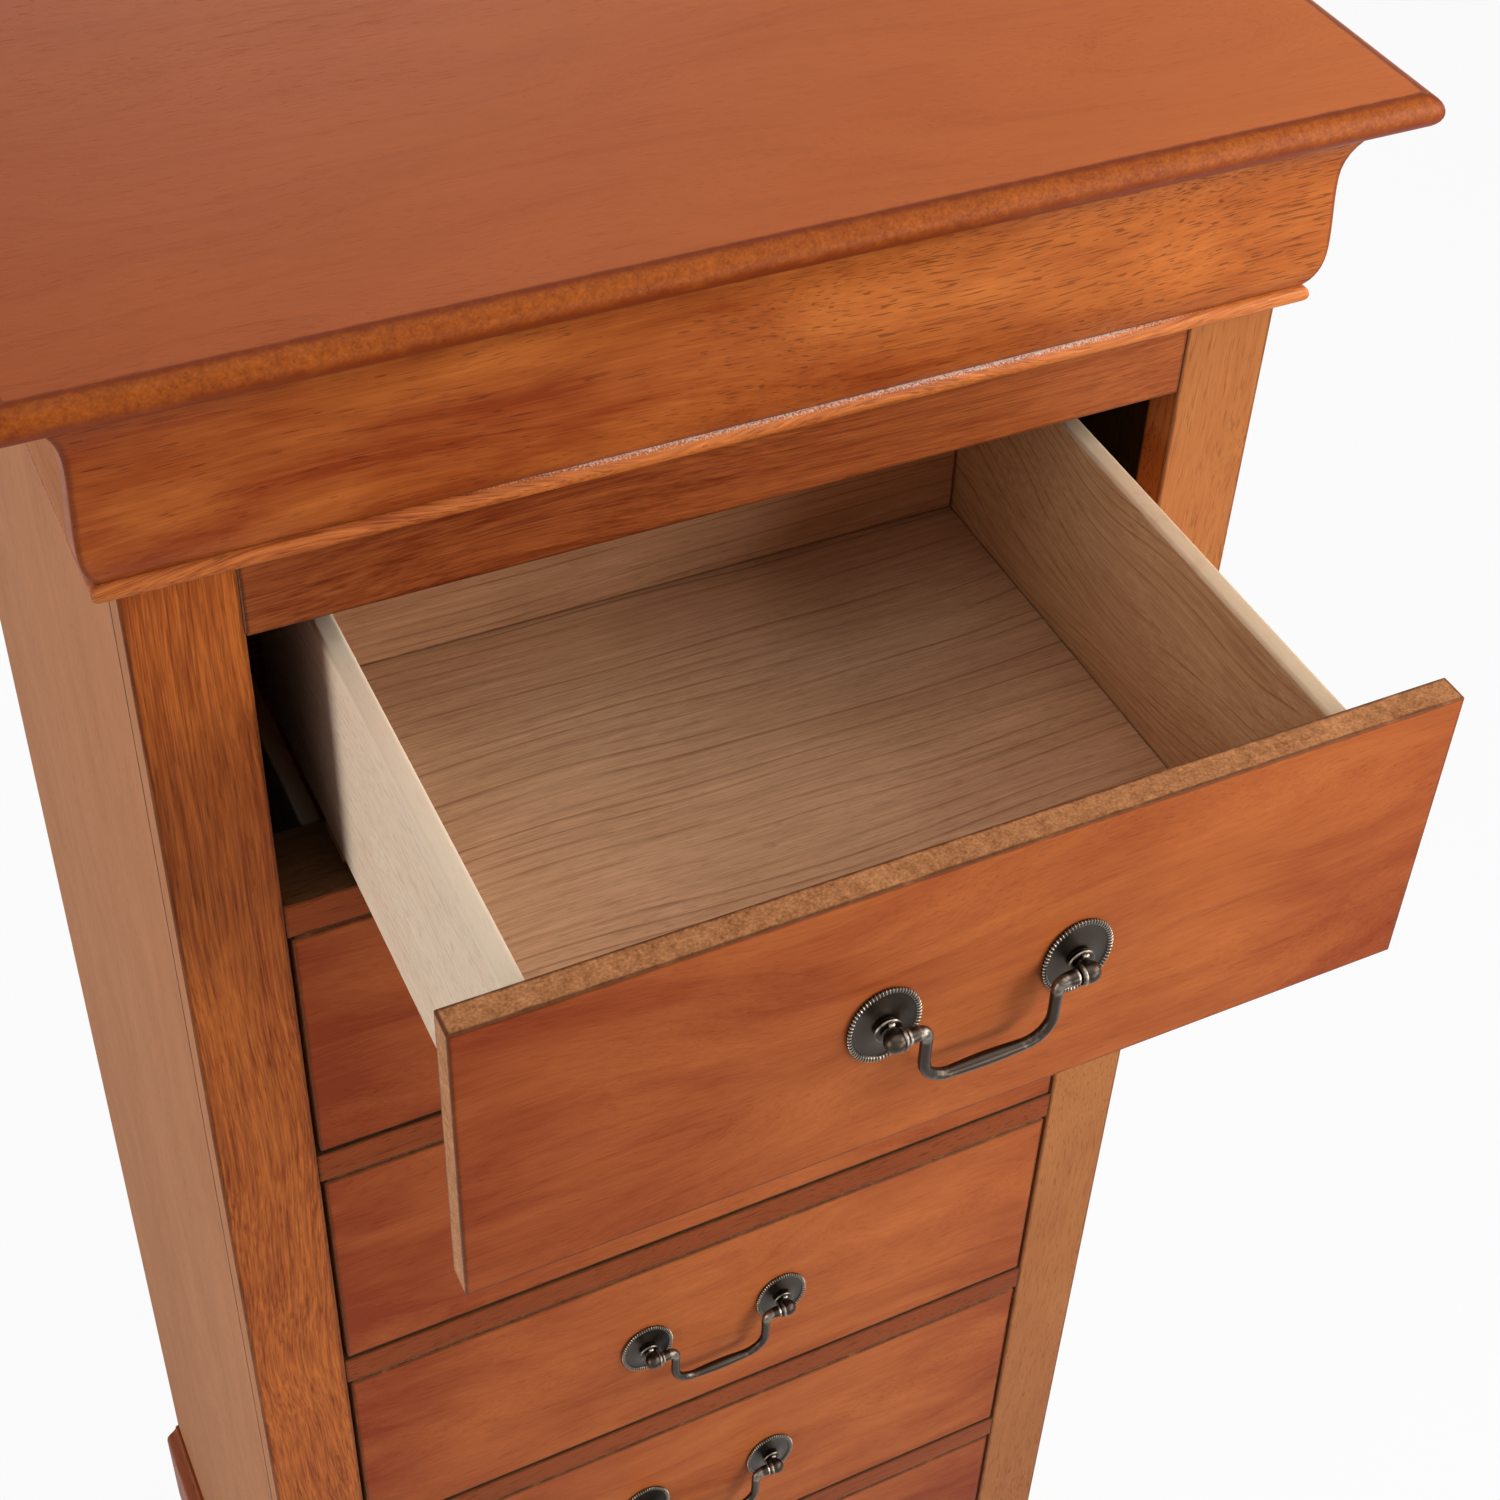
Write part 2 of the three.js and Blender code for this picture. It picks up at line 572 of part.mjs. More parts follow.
for (let number = 1; number <= DRAWER_COUNT; number += 1) {
  const railBottom = PLINTH_HEIGHT + (DRAWER_COUNT - number) * drawerPitch;
  add(chest, `rail_${number}`, railWithRunner(railBottom), cherry);

  const drawer = new THREE.Group();
  const pulled = number === 1 ? TOP_DRAWER_PULLED : 0;
  drawer.position.set(0, -pulled, railBottom + FRAME_THICKNESS + FRONT_BOTTOM_GAP);
  const name = `drawer_${number}`;
  add(drawer, `${name}_front`, front, cherry);
  if (number === 1) {
    add(drawer, `${name}_side_left`, boxSide(-1, true), paleWood);
    add(drawer, `${name}_side_right`, boxSide(1, true), paleWood);
    add(drawer, `${name}_back`, boxBackBoard(), paleWood);
    add(drawer, `${name}_bottom`, boxFloor(halfBoxInside + GROOVE_DEPTH - FLOOR_CLEARANCE), paleWood);
  } else {
    add(drawer, `${name}_box`, box, paleWood);
  }
  add(drawer, `${name}_post_left`, posts.left, bronze, [-halfPull, 0, pullHeight]);
  add(drawer, `${name}_post_right`, posts.right, bronze, [halfPull, 0, pullHeight]);
  add(drawer, `${name}_bail`, bailBar, bronze, [0, -PIVOT_OUT, pullHeight]);
  chest.add(drawer);
}

// The origin is on the floor, under the middle of the box that holds the whole chest.
const extent = new THREE.Box3().setFromObject(chest);
chest.position.y = -(extent.min.y + extent.max.y) / 2;

const part = new THREE.Group();
part.add(chest);
export default part;
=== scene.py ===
import math

import bmesh
import bpy
from mathutils import Matrix, Vector, geometry


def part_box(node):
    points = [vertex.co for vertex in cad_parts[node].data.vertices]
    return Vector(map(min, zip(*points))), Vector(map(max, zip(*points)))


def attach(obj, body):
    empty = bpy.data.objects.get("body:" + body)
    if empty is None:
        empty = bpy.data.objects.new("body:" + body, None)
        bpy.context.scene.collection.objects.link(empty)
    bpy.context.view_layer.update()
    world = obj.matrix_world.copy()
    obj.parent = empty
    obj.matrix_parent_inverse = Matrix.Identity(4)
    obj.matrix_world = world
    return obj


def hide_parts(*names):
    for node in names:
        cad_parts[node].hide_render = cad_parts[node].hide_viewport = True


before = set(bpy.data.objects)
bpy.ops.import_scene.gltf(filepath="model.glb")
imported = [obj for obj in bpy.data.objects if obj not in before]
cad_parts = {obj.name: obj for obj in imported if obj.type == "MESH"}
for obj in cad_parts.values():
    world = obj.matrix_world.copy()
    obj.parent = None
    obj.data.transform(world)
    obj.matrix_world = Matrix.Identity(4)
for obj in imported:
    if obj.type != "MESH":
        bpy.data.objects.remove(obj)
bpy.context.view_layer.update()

scene = bpy.context.scene
scene.view_settings.view_transform = "Standard"
MM = 0.001

# Room
# A white floor, as in a catalogue studio, under a world that shows white. The camera sees the floor as
# plain white, and it keeps the chest's soft shadow.
FLOOR_HALF = 9
FLOOR_DROP = 0.5 * MM
FLOOR_GLOW = 0.94
AIR_LIGHT = 0.06
WHITE = (1, 1, 1, 1)


def feed(tree, node, inputs):
    """Link each given input of a node to an output, or set it to a plain value."""
    for name, value in inputs.items():
        if isinstance(value, bpy.types.NodeSocket):
            tree.links.new(value, node.inputs[name])
        else:
            node.inputs[name].default_value = value


def node_of(tree, kind, inputs, **settings):
    """Add a node to a tree, with its settings first and then its inputs."""
    node = tree.nodes.new(kind)
    for name, value in settings.items():
        setattr(node, name, value)
    feed(tree, node, inputs)
    return node


def math_of(tree, operation, *values):
    """The result of one sum on links and plain numbers."""
    return node_of(tree, "ShaderNodeMath", dict(enumerate(values)), operation=operation).outputs[0]


def new_material(name):
    """A material with its nodes, of which the shader is already linked to the output."""
    material = bpy.data.materials.new(name)
    material.use_nodes = True
    return material, material.node_tree


def shown_white(tree, lit, white, output, share=1.0):
    """Mix in the white share of the room for the camera and for what glossy surfaces mirror."""
    rays = node_of(tree, "ShaderNodeLightPath", {}).outputs
    seen = math_of(tree, "MAXIMUM", rays["Is Camera Ray"], rays["Is Glossy Ray"])
    seen = math_of(tree, "MULTIPLY", seen, share)
    mix = node_of(tree, "ShaderNodeMixShader", {0: seen, 1: lit.outputs[0], 2: white.outputs[0]})
    tree.links.new(mix.outputs[0], tree.nodes[output].inputs["Surface"])


floor_mesh = bpy.data.meshes.new("studio_floor")
bm = bmesh.new()
bmesh.ops.create_grid(bm, x_segments=1, y_segments=1, size=FLOOR_HALF)
bm.to_mesh(floor_mesh)
bm.free()
studio_floor = bpy.data.objects.new("studio_floor", floor_mesh)
studio_floor.location.z = -FLOOR_DROP
scene.collection.objects.link(studio_floor)
paper, tree = new_material("studio_paper")
matt = tree.nodes["Principled BSDF"]
feed(tree, matt, {"Base Color": (0.8, 0.8, 0.8, 1), "Roughness": 0.9, "Specular IOR Level": 0.1})
glow = node_of(tree, "ShaderNodeEmission", {"Color": WHITE, "Strength": 1.0})
shown_white(tree, matt, glow, "Material Output", FLOOR_GLOW)
floor_mesh.materials.append(paper)

world = bpy.data.worlds.new("studio")
scene.world = world
world.use_nodes = True
tree = world.node_tree
air = tree.nodes["Background"]
feed(tree, air, {"Color": WHITE, "Strength": AIR_LIGHT})
white = node_of(tree, "ShaderNodeBackground", {"Color": WHITE, "Strength": 1.0})
shown_white(tree, air, white, "World Output")


def softbox(name, place, target, width, height, power):
    """A rectangular lamp that looks at a point and that the camera doesn't see."""
    lamp = bpy.data.lights.new(name, "AREA")
    lamp.shape = "RECTANGLE"
    lamp.size = width
    lamp.size_y = height
    lamp.energy = power
    holder = bpy.data.objects.new(name, lamp)
    holder.location = place
    holder.rotation_euler = (Vector(target) - Vector(place)).to_track_quat("-Z", "Y").to_euler()
    holder.visible_camera = False
    scene.collection.objects.link(holder)


softbox("softbox_right_high", (1.0, -0.9, 1.75), (0.1, 0, 1.1), 0.4, 0.5, 6)
softbox("softbox_right_low", (1.1, -1.3, 1.25), (0.1, 0, 1.0), 0.4, 0.5, 6)
softbox("softbox_right_side", (1.3, -0.5, 1.5), (0.1, 0, 1.0), 0.5, 0.7, 8)
softbox("softbox_front_low", (0.6, -1.6, 1.1), (0.05, 0, 0.9), 0.5, 0.6, 5)
softbox("softbox_top", (0.3, -0.5, 3.1), (0, 0, 1.1), 2.4, 2.4, 20)
softbox("softbox_left", (-2.2, -0.4, 1.3), (0, 0, 1.0), 1.0, 1.4, 22)
softbox("softbox_back", (0.5, 2.8, 1.5), (0, 0, 0.7), 1.4, 1.4, 20)

# Camera
# It looks down on the pulled-out top drawer from the front left.
FRAME_PIXELS = 1500
camera_data = bpy.data.cameras.new("camera")
camera_data.sensor_width = 36
camera_data.lens = 59.93
camera_data.shift_x = -106.87 / FRAME_PIXELS
camera_data.shift_y = -84.22 / FRAME_PIXELS
camera = bpy.data.objects.new("camera", camera_data)
camera.location = (-0.33057, -0.76337, 1.76885)
camera.rotation_euler = [math.radians(a) for a in (48.1217, -3.5206, -26.9683)]
scene.collection.objects.link(camera)
scene.camera = camera

# Plinth
# Four boards under the carcass, glued and screwed. The front and sides are stained cherry with
# scalloped bracket feet, and a plain raw board runs across the back.
HEART_ASIDE = 0.131
HEART_FLATTENED = 0.8
EDGE_FINENESS = 130
EDGE_RAGGEDNESS = 1.1
BOARD_SHIFT = (0.83, 0.017, 0.029)
CHERRY_LIGHT = (0.36, 0.076, 0.010)
CHERRY_DARK = (0.22, 0.037, 0.005)
CHERRY_PORE = (0.070, 0.017, 0.005)
CREASE = math.radians(32)
WELD = 0.01 * MM
FLAT_TURN = math.radians(0.5)
ARRIS_TURN = math.radians(40)
PLINTH_EASE = 0.7 * MM


def group_of(name, vectors, colours, values, results):
    """A node group with its sockets: the group, and what comes into and goes out of it."""
    group = bpy.data.node_groups.new(name, "ShaderNodeTree")
    add = group.interface.new_socket
    for label in vectors:
        add(label, in_out="INPUT", socket_type="NodeSocketVector")
    for label in colours:
        add(label, in_out="INPUT", socket_type="NodeSocketColor")
    for label, value in values.items():
        add(label, in_out="INPUT", socket_type="NodeSocketFloat").default_value = value
    for label in results:
        kind = "NodeSocketColor" if label == "Color" else "NodeSocketFloat"
        add(label, in_out="OUTPUT", socket_type=kind)
    return group, group.nodes.new("NodeGroupInput").outputs, group.nodes.new("NodeGroupOutput").inputs


def noise(tree, place, detail, scale=1, roughness=0.5):
    """Soft noise from 0 to 1."""
    return node_of(tree, "ShaderNodeTexNoise", {"Vector": place, "Scale": scale, "Detail": detail,
                                                "Roughness": roughness}).outputs["Fac"]


def ranged(tree, value, low, high, to_low=0.0, to_high=1.0):
    """A value's own range eased into another."""
    return node_of(tree, "ShaderNodeMapRange",
                   {"Value": value, "From Min": low, "From Max": high, "To Min": to_low,
                    "To Max": to_high}, interpolation_type="SMOOTHSTEP").outputs["Result"]


def blended(tree, factor, first, second):
    """The first colour, going over into the second as the factor rises."""
    return node_of(tree, "ShaderNodeMix", {"Factor": factor, "A": first, "B": second},
                   data_type="RGBA", clamp_factor=True).outputs["Result"]


def timber_figure():
    """Growth rings, fibres, open pores and soft blotches, drawn along the board's own X."""
    tree, given, result = group_of(
        "timber_figure", ["Grain"], ["Light", "Dark", "Pore"],
        {"Along": 0, "Lean": 0, "Dark Ends": 0, "Ring Period": 9, "Ring Contrast": 0.3,
         "Ring Sharpness": 2, "Wander": 12, "Fibre Contrast": 0.3, "Blotch Contrast": 0.4,
         "Pore Amount": 0.5, "Pore Cover": 0, "Pore Lean": 0, "Pore Fineness": 1},
        ["Color", "Relief", "Dullness"])

    def calc(operation, *values):
        return math_of(tree, operation, *values)

    def drawn(place, along, across, detail, roughness=0.5):
        """Noise with so many waves a metre along the grain and across it."""
        scaled = node_of(tree, "ShaderNodeVectorMath", {0: place, 1: (along, across, across)},
                         operation="MULTIPLY").outputs[0]
        return noise(tree, scaled, detail, roughness=roughness)

    # The grain wanders slowly across the board, and everything below follows it.
    drift = calc("SUBTRACT", drawn(given["Grain"], 2.6, 7, 2), 0.5)
    drift = calc("MULTIPLY", calc("MULTIPLY", drift, given["Wander"]), 0.01)
    apart = node_of(tree, "ShaderNodeSeparateXYZ", {0: given["Grain"]}).outputs
    across, upward = calc("ADD", apart["Y"], drift), calc("ADD", apart["Z"], drift)
    grain = node_of(tree, "ShaderNodeCombineXYZ",
                    {"X": apart["X"], "Y": across, "Z": upward}).outputs[0]

    # Rings: distance from a heart line beside the board. Each darkens slowly to a sharp late line.
    across, upward = calc("ADD", across, HEART_ASIDE), calc("MULTIPLY", upward, HEART_FLATTENED)
    radius = calc("SQRT", calc("ADD", calc("MULTIPLY", across, across), calc("MULTIPLY", upward, upward)))
    uneven = calc("MULTIPLY", drawn(grain, 1.2, 32, 2), 2.2)
    rings = calc("DIVIDE", calc("MULTIPLY", radius, 1000), given["Ring Period"])
    turns = calc("FRACT", calc("ADD", rings, uneven))
    late = calc("SUBTRACT", ranged(tree, turns, 0.3, 0.93), ranged(tree, turns, 0.93, 1.0))
    strength = ranged(tree, drawn(grain, 3, 130, 2), 0.38, 0.62, 0.05, 1.0)
    late = calc("MULTIPLY", calc("POWER", late, given["Ring Sharpness"]), strength)

    # Broad and fine fibres, and blotches where the wood took more of the stain.
    fibre = calc("ADD", calc("MULTIPLY", drawn(grain, 10, 460, 3, 0.55), 0.45),
                 calc("MULTIPLY", drawn(grain, 34, 1250, 2), 0.55))
    blotch = calc("ADD", calc("MULTIPLY", drawn(grain, 13, 32, 3, 0.55), 0.6),
                  calc("MULTIPLY", drawn(grain, 2.4, 6, 1), 0.4))

    # Pores are short dark dashes, thick in some places and missing in others.
    cover = calc("MULTIPLY_ADD", drawn(grain, 5, 20, 1), 0.2, -0.1)
    cover = calc("MULTIPLY_ADD", late, 0.05, calc("ADD", cover, given["Pore Cover"]))
    cover = calc("MULTIPLY_ADD", given["Along"], given["Pore Lean"], cover)
    finer = node_of(tree, "ShaderNodeVectorMath", {0: grain, "Scale": given["Pore Fineness"]},
                    operation="SCALE").outputs[0]
    pore = ranged(tree, calc("ADD", drawn(finer, 95, 1700, 0), cover), 0.64, 0.7)

    # The tone runs from dark to light, lighter to one end (Lean: a painted fall of light) or darker to
    # both, and the pores lie on it.
    tone = calc("MULTIPLY_ADD", given["Along"], given["Lean"], 0.5)
    squared = calc("MULTIPLY", given["Along"], given["Along"])
    tone = calc("SUBTRACT", tone, calc("MULTIPLY", squared, given["Dark Ends"]))
    tone = calc("MULTIPLY_ADD", calc("SUBTRACT", 0.2, late), given["Ring Contrast"], tone)
    for value, contrast in ((fibre, "Fibre Contrast"), (blotch, "Blotch Contrast")):
        swing = calc("MULTIPLY", calc("SUBTRACT", value, 0.5), 3.2)
        tone = calc("MULTIPLY_ADD", swing, given[contrast], tone)
    base = blended(tree, tone, given["Dark"], given["Light"])
    flecked = blended(tree, calc("MULTIPLY", pore, given["Pore Amount"]), base, given["Pore"])
    tree.links.new(flecked, result["Color"])
    tree.links.new(calc("SUBTRACT", calc("MULTIPLY", fibre, 0.25), pore), result["Relief"])
    dull = calc("ADD", calc("MULTIPLY", pore, 0.2), calc("MULTIPLY", fibre, 0.12))
    tree.links.new(dull, result["Dullness"])
    return tree


def stain_and_light_edge():
    """Stain that gathers dark along an arris, broken up so that no line is even. On some pieces the same
    mask lays painted shade and painted glints.
    """
    tree, given, result = group_of(
        "stain_and_light_edge", ["Place"], ["Color", "Stain And Light"],
        {"Arris": 0, "Strength": 0.6, "Fineness": EDGE_FINENESS, "Raggedness": EDGE_RAGGEDNESS}, ["Color"])
    breakup = noise(tree, given["Place"], 3, scale=given["Fineness"])
    ragged = math_of(tree, "MULTIPLY", math_of(tree, "SUBTRACT", breakup, 0.5), given["Raggedness"])
    edge = math_of(tree, "MULTIPLY_ADD", ragged, given["Arris"], given["Arris"])
    held = math_of(tree, "MULTIPLY", ranged(tree, edge, 0.35, 1.0), given["Strength"])
    tree.links.new(blended(tree, held, given["Color"], given["Stain And Light"]), result["Color"])
    return tree


FIGURE = timber_figure()
EDGE = stain_and_light_edge()
TURNED = {"x": (0, 0, 0), "y": (0, 0, math.radians(90)), "z": (0, math.radians(90), 0)}


def with_stain_and_light(tree, place, colour, stain_and_light, strength, fineness=EDGE_FINENESS, raggedness=EDGE_RAGGEDNESS):
    """A colour with the stain on the piece's arrises, and on some pieces painted shade and painted glints
    laid by the same mask.
    """
    arris = node_of(tree, "ShaderNodeAttribute", {}, attribute_name="arris").outputs["Fac"]
    return node_of(tree, "ShaderNodeGroup",
                   {"Place": place, "Arris": arris, "Color": colour, "Stain And Light": (*stain_and_light, 1),
                    "Strength": strength, "Fineness": fineness, "Raggedness": raggedness},
                   node_tree=EDGE).outputs["Color"]


def dress(tree, colour, roughness, height, strength, depth, others):
    """Give a material's shader its colour, roughness and fine relief, and its other inputs."""
    bump = node_of(tree, "ShaderNodeBump", {"Strength": strength, "Distance": depth, "Height": height})
    feed(tree, tree.nodes["Principled BSDF"], {"Base Color": colour, "Roughness": roughness,
                                               "Normal": bump.outputs["Normal"], **others})


def timber(name, grain, light, dark, pore, gloss, coat, edge=None, edge_strength=0.55,
           edge_fineness=EDGE_FINENESS, edge_raggedness=EDGE_RAGGEDNESS, shine=0.1, **figure):
    """A board's finish, with its grain along x, y or z and its own board number to start from."""
    material, tree = new_material(name)
    place = node_of(tree, "ShaderNodeTexCoord", {}).outputs["Object"]
    turn = node_of(tree, "ShaderNodeMapping", {"Vector": place, "Rotation": TURNED[grain]}).outputs[0]
    board = node_of(tree, "ShaderNodeAttribute", {}, attribute_name="board").outputs["Vector"]
    shift = node_of(tree, "ShaderNodeVectorMath", {0: board, 1: BOARD_SHIFT, 2: turn},
                    operation="MULTIPLY_ADD").outputs[0]
    along = node_of(tree, "ShaderNodeSeparateXYZ", {0: turn}).outputs["X"]
    figure = {label.replace("_", " ").title(): value for label, value in figure.items()}
    wood = node_of(tree, "ShaderNodeGroup",
                   {"Grain": shift, "Along": along, "Light": (*light, 1), "Dark": (*dark, 1),
                    "Pore": (*pore, 1), **figure}, node_tree=FIGURE).outputs
    colour = with_stain_and_light(tree, place, wood["Color"], edge or pore, edge_strength, edge_fineness,
                     edge_raggedness)
    dress(tree, colour, math_of(tree, "ADD", wood["Dullness"], gloss), wood["Relief"], strength=0.35,
          depth=0.2 * MM, others={"Specular IOR Level": shine, "Coat Weight": coat, "Coat Roughness": 0.3})
    return material


def cherry(name, grain, light=CHERRY_LIGHT, dark=CHERRY_DARK, gloss=0.42, **figure):
    """Stained and lacquered cherry."""
    settings = {"ring_period": 11, "ring_contrast": 0.16, "fibre_contrast": 0.3,
                "blotch_contrast": 0.45, "pore_amount": 0.4}
    return timber(name, grain, light, dark, CHERRY_PORE, gloss, coat=0.02, **{**settings, **figure})


def marked(bm, board, on_arris=lambda vert: False):
    """Write the board number, and 1 on each point of an arris and 0 elsewhere."""
    number = bm.verts.layers.float.new("board")
    arris = bm.verts.layers.float.new("arris")
    for vert in bm.verts:
        vert[number] = board
        vert[arris] = 1.0 if on_arris(vert) else 0.0


def piece(name, bm, body, node, slot, *materials):
    """Make a shaped bmesh a piece that rides on its body and stands for its CAD node."""
    bmesh.ops.recalc_face_normals(bm, faces=bm.faces)
    mesh = bpy.data.meshes.new(name)
    bm.to_mesh(mesh)
    bm.free()
    mesh.shade_smooth()
    mesh.set_sharp_from_angle(angle=CREASE)
    for material in materials:
        mesh.materials.append(material)
    made = bpy.data.objects.new(name, mesh)
    scene.collection.objects.link(made)
    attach(made, body)
    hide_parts(node)


def eased_copy(node, ease, board):
    """A CAD board with its loose triangles joined, its flats made whole and its arrises eased."""
    bm = bmesh.new()
    bm.from_mesh(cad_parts[node].data)
    bmesh.ops.remove_doubles(bm, verts=bm.verts, dist=WELD)
    bmesh.ops.dissolve_limit(bm, angle_limit=FLAT_TURN, verts=bm.verts, edges=bm.edges)
    sharp = [e for e in bm.edges if len(e.link_faces) == 2 and e.calc_face_angle() > ARRIS_TURN]
    bmesh.ops.bevel(bm, geom=sharp, offset=ease, offset_type="OFFSET", segments=2, profile=0.5,
                    affect="EDGES", material=-1, clamp_overlap=True)
    marked(bm, board)
    return bm


cherry_x = cherry("cherry_across", "x")
cherry_y = cherry("cherry_deep", "y", ring_contrast=0.1)
raw_board = timber("raw_board", "x", (0.20, 0.12, 0.06), (0.12, 0.065, 0.03), (0.05, 0.03, 0.015),
                   gloss=0.7, coat=0, edge_strength=0.2, ring_period=14, ring_contrast=0.1,
                   fibre_contrast=0.35, blotch_contrast=0.3, pore_amount=0.2)
for number, (node, slot, finish) in enumerate((
        ("plinth_front", "cherry", cherry_x), ("plinth_left", "cherry", cherry_y),
        ("plinth_right", "cherry", cherry_y), ("plinth_back", "raw_board", raw_board))):
    piece(f"{node}_board", eased_copy(node, PLINTH_EASE, 1 + number), "carcass", node, slot, finish)

# Stiles and side panels
# The two upright posts of the face frame are solid wood with straight upright grain. Behind each
# one a veneered side panel butts against it, and the joint shows as a fine dark line.
SQUARE_ON = 0.9999
NEARLY_SQUARE = 0.9


def eased_board(low, high, ease, ring, board, into=None, steps=3):
    """A board between two corners, with eased arrises and a narrow ring inside each of them."""
    low, high = Vector(low), Vector(high)
    bm = into or bmesh.new()
    number = bm.verts.layers.float.get("board") or bm.verts.layers.float.new("board")
    arris = bm.verts.layers.float.get("arris") or bm.verts.layers.float.new("arris")
    earlier = set(bm.faces)
    cube = bmesh.ops.create_cube(bm, size=1)["verts"]
    bmesh.ops.scale(bm, vec=high - low, verts=cube)
    bmesh.ops.translate(bm, vec=(high + low) / 2, verts=cube)
    bmesh.ops.bevel(bm, geom=list(dict.fromkeys(e for v in cube for e in v.link_edges)),
                    offset=ease, offset_type="OFFSET", segments=steps, profile=0.5, affect="EDGES",
                    material=-1, clamp_overlap=True)
    bm.normal_update()
    flats = [f for f in bm.faces if f not in earlier and max(abs(c) for c in f.normal) > SQUARE_ON]
    for flat in flats:
        narrow = min(e.calc_length() for e in flat.edges)
        bmesh.ops.inset_individual(bm, faces=[flat], thickness=min(ring, narrow * 0.3),
                                   use_even_offset=True)
    inside = {v for f in flats for v in f.verts}
    for vert in {v for f in bm.faces if f not in earlier for v in f.verts}:
        vert[number] = board
        vert[arris] = 0.0 if vert in inside else 1.0
    return bm


def finished_by(bm, chosen):
    """Give each face the material number that its direction asks for."""
    bm.normal_update()
    for face in bm.faces:
        face.material_index = chosen(face.normal)


# One stile wood in a lit and a shaded copy: the right is painted paler and more golden with light and
# sheen, the left darker and redder with painted shade.
post_looks_lit_and_shaded = {"left": ((0.66, 0.182, 0.032), (0.26, 0.044, 0.005), 1.0, 0.4),
              "right": ((0.56, 0.215, 0.062), (0.36, 0.100, 0.024), 0.35, 0.35)}
# Pale pinkish cherry for the side panels and the stiles' outer faces: their stained veneer with painted
# sheen, the grazing reflection along the sides, in the colour.
side_veneer_with_sheen = cherry("cherry_side", "z", (0.64, 0.280, 0.130), (0.41, 0.155, 0.060), gloss=0.7,
                     shine=0.12, ring_contrast=0.05, fibre_contrast=0.2, blotch_contrast=0.35,
                     pore_amount=0.1, edge=(0.10, 0.035, 0.015), edge_strength=0.85)
# Very dark raw wood on the stiles' backs and the panels' inner faces: painted shade of the closed carcass.
raw_upright_shaded = timber("raw_upright_shaded", "z", (0.10, 0.055, 0.028), (0.055, 0.03, 0.015),
                     (0.03, 0.015, 0.008), gloss=0.8, coat=0, edge_strength=0, shine=0.05)
for number, (hand, inward) in enumerate((("left", 1), ("right", -1))):
    light, dark, fibre, blotch = post_looks_lit_and_shaded[hand]
    post_wood = timber(f"cherry_post_{hand}", "z", light, dark, CHERRY_PORE, gloss=0.45, coat=0.05,
                       ring_period=5, ring_contrast=0.1, wander=5, fibre_contrast=fibre,
                       blotch_contrast=blotch, pore_amount=0.25)
    # Unlacquered and darker on the faces towards the drawers: painted shade in the openings.
    post_inside_shaded = timber(f"cherry_inside_{hand}", "z", (0.47, 0.150, 0.040), (0.30, 0.080, 0.020),
                         CHERRY_PORE, gloss=0.7, coat=0, shine=0.05)

    def post_face(normal):
        """0 in front, 1 to the drawers, 2 at the back and 3 on the outer side."""
        if normal.x * inward > 0.99:
            return 1
        if normal.y > NEARLY_SQUARE:
            return 2
        return 3 if normal.x * inward < -NEARLY_SQUARE else 0

    post_board = eased_board(*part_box(f"stile_{hand}"), ease=1 * MM, ring=1.6 * MM, board=11 + number)
    finished_by(post_board, post_face)
    piece(f"post_{hand}", post_board, "carcass", f"stile_{hand}", "cherry_post", post_wood, post_inside_shaded,
          raw_upright_shaded, side_veneer_with_sheen)
    panel = eased_board(*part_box(f"side_panel_{hand}"), ease=0.35 * MM, ring=1 * MM, board=14 + number)
    finished_by(panel, lambda n: 1 if n.x * inward > NEARLY_SQUARE else 0)
    piece(f"panel_{hand}", panel, "carcass", f"side_panel_{hand}", "cherry", side_veneer_with_sheen, raw_upright_shaded)

# Rails
# Flat boards tenoned between the stiles, one under each drawer. A raw wood runner is screwed on
# the middle of each and to the back, and a small glide block sits under each drawer side.
RAIL_DEPTH = 40 * MM
RAIL_THICKNESS = 18 * MM
RUNNER_HALF = 15 * MM
RUNNER_START = 14 * MM
RUNNER_SUNK = 8 * MM
GLIDE_LENGTH = 22 * MM
GLIDE_RISE = 4.8 * MM
DRAWER_COUNT = 7

runner_wood = timber("runner_wood", "y", (0.55, 0.38, 0.22), (0.38, 0.24, 0.12), (0.20, 0.11, 0.05),
                     gloss=0.6, coat=0, ring_period=6, ring_contrast=0.35, blotch_contrast=0.2,
                     pore_amount=0.25, edge_strength=0.1)
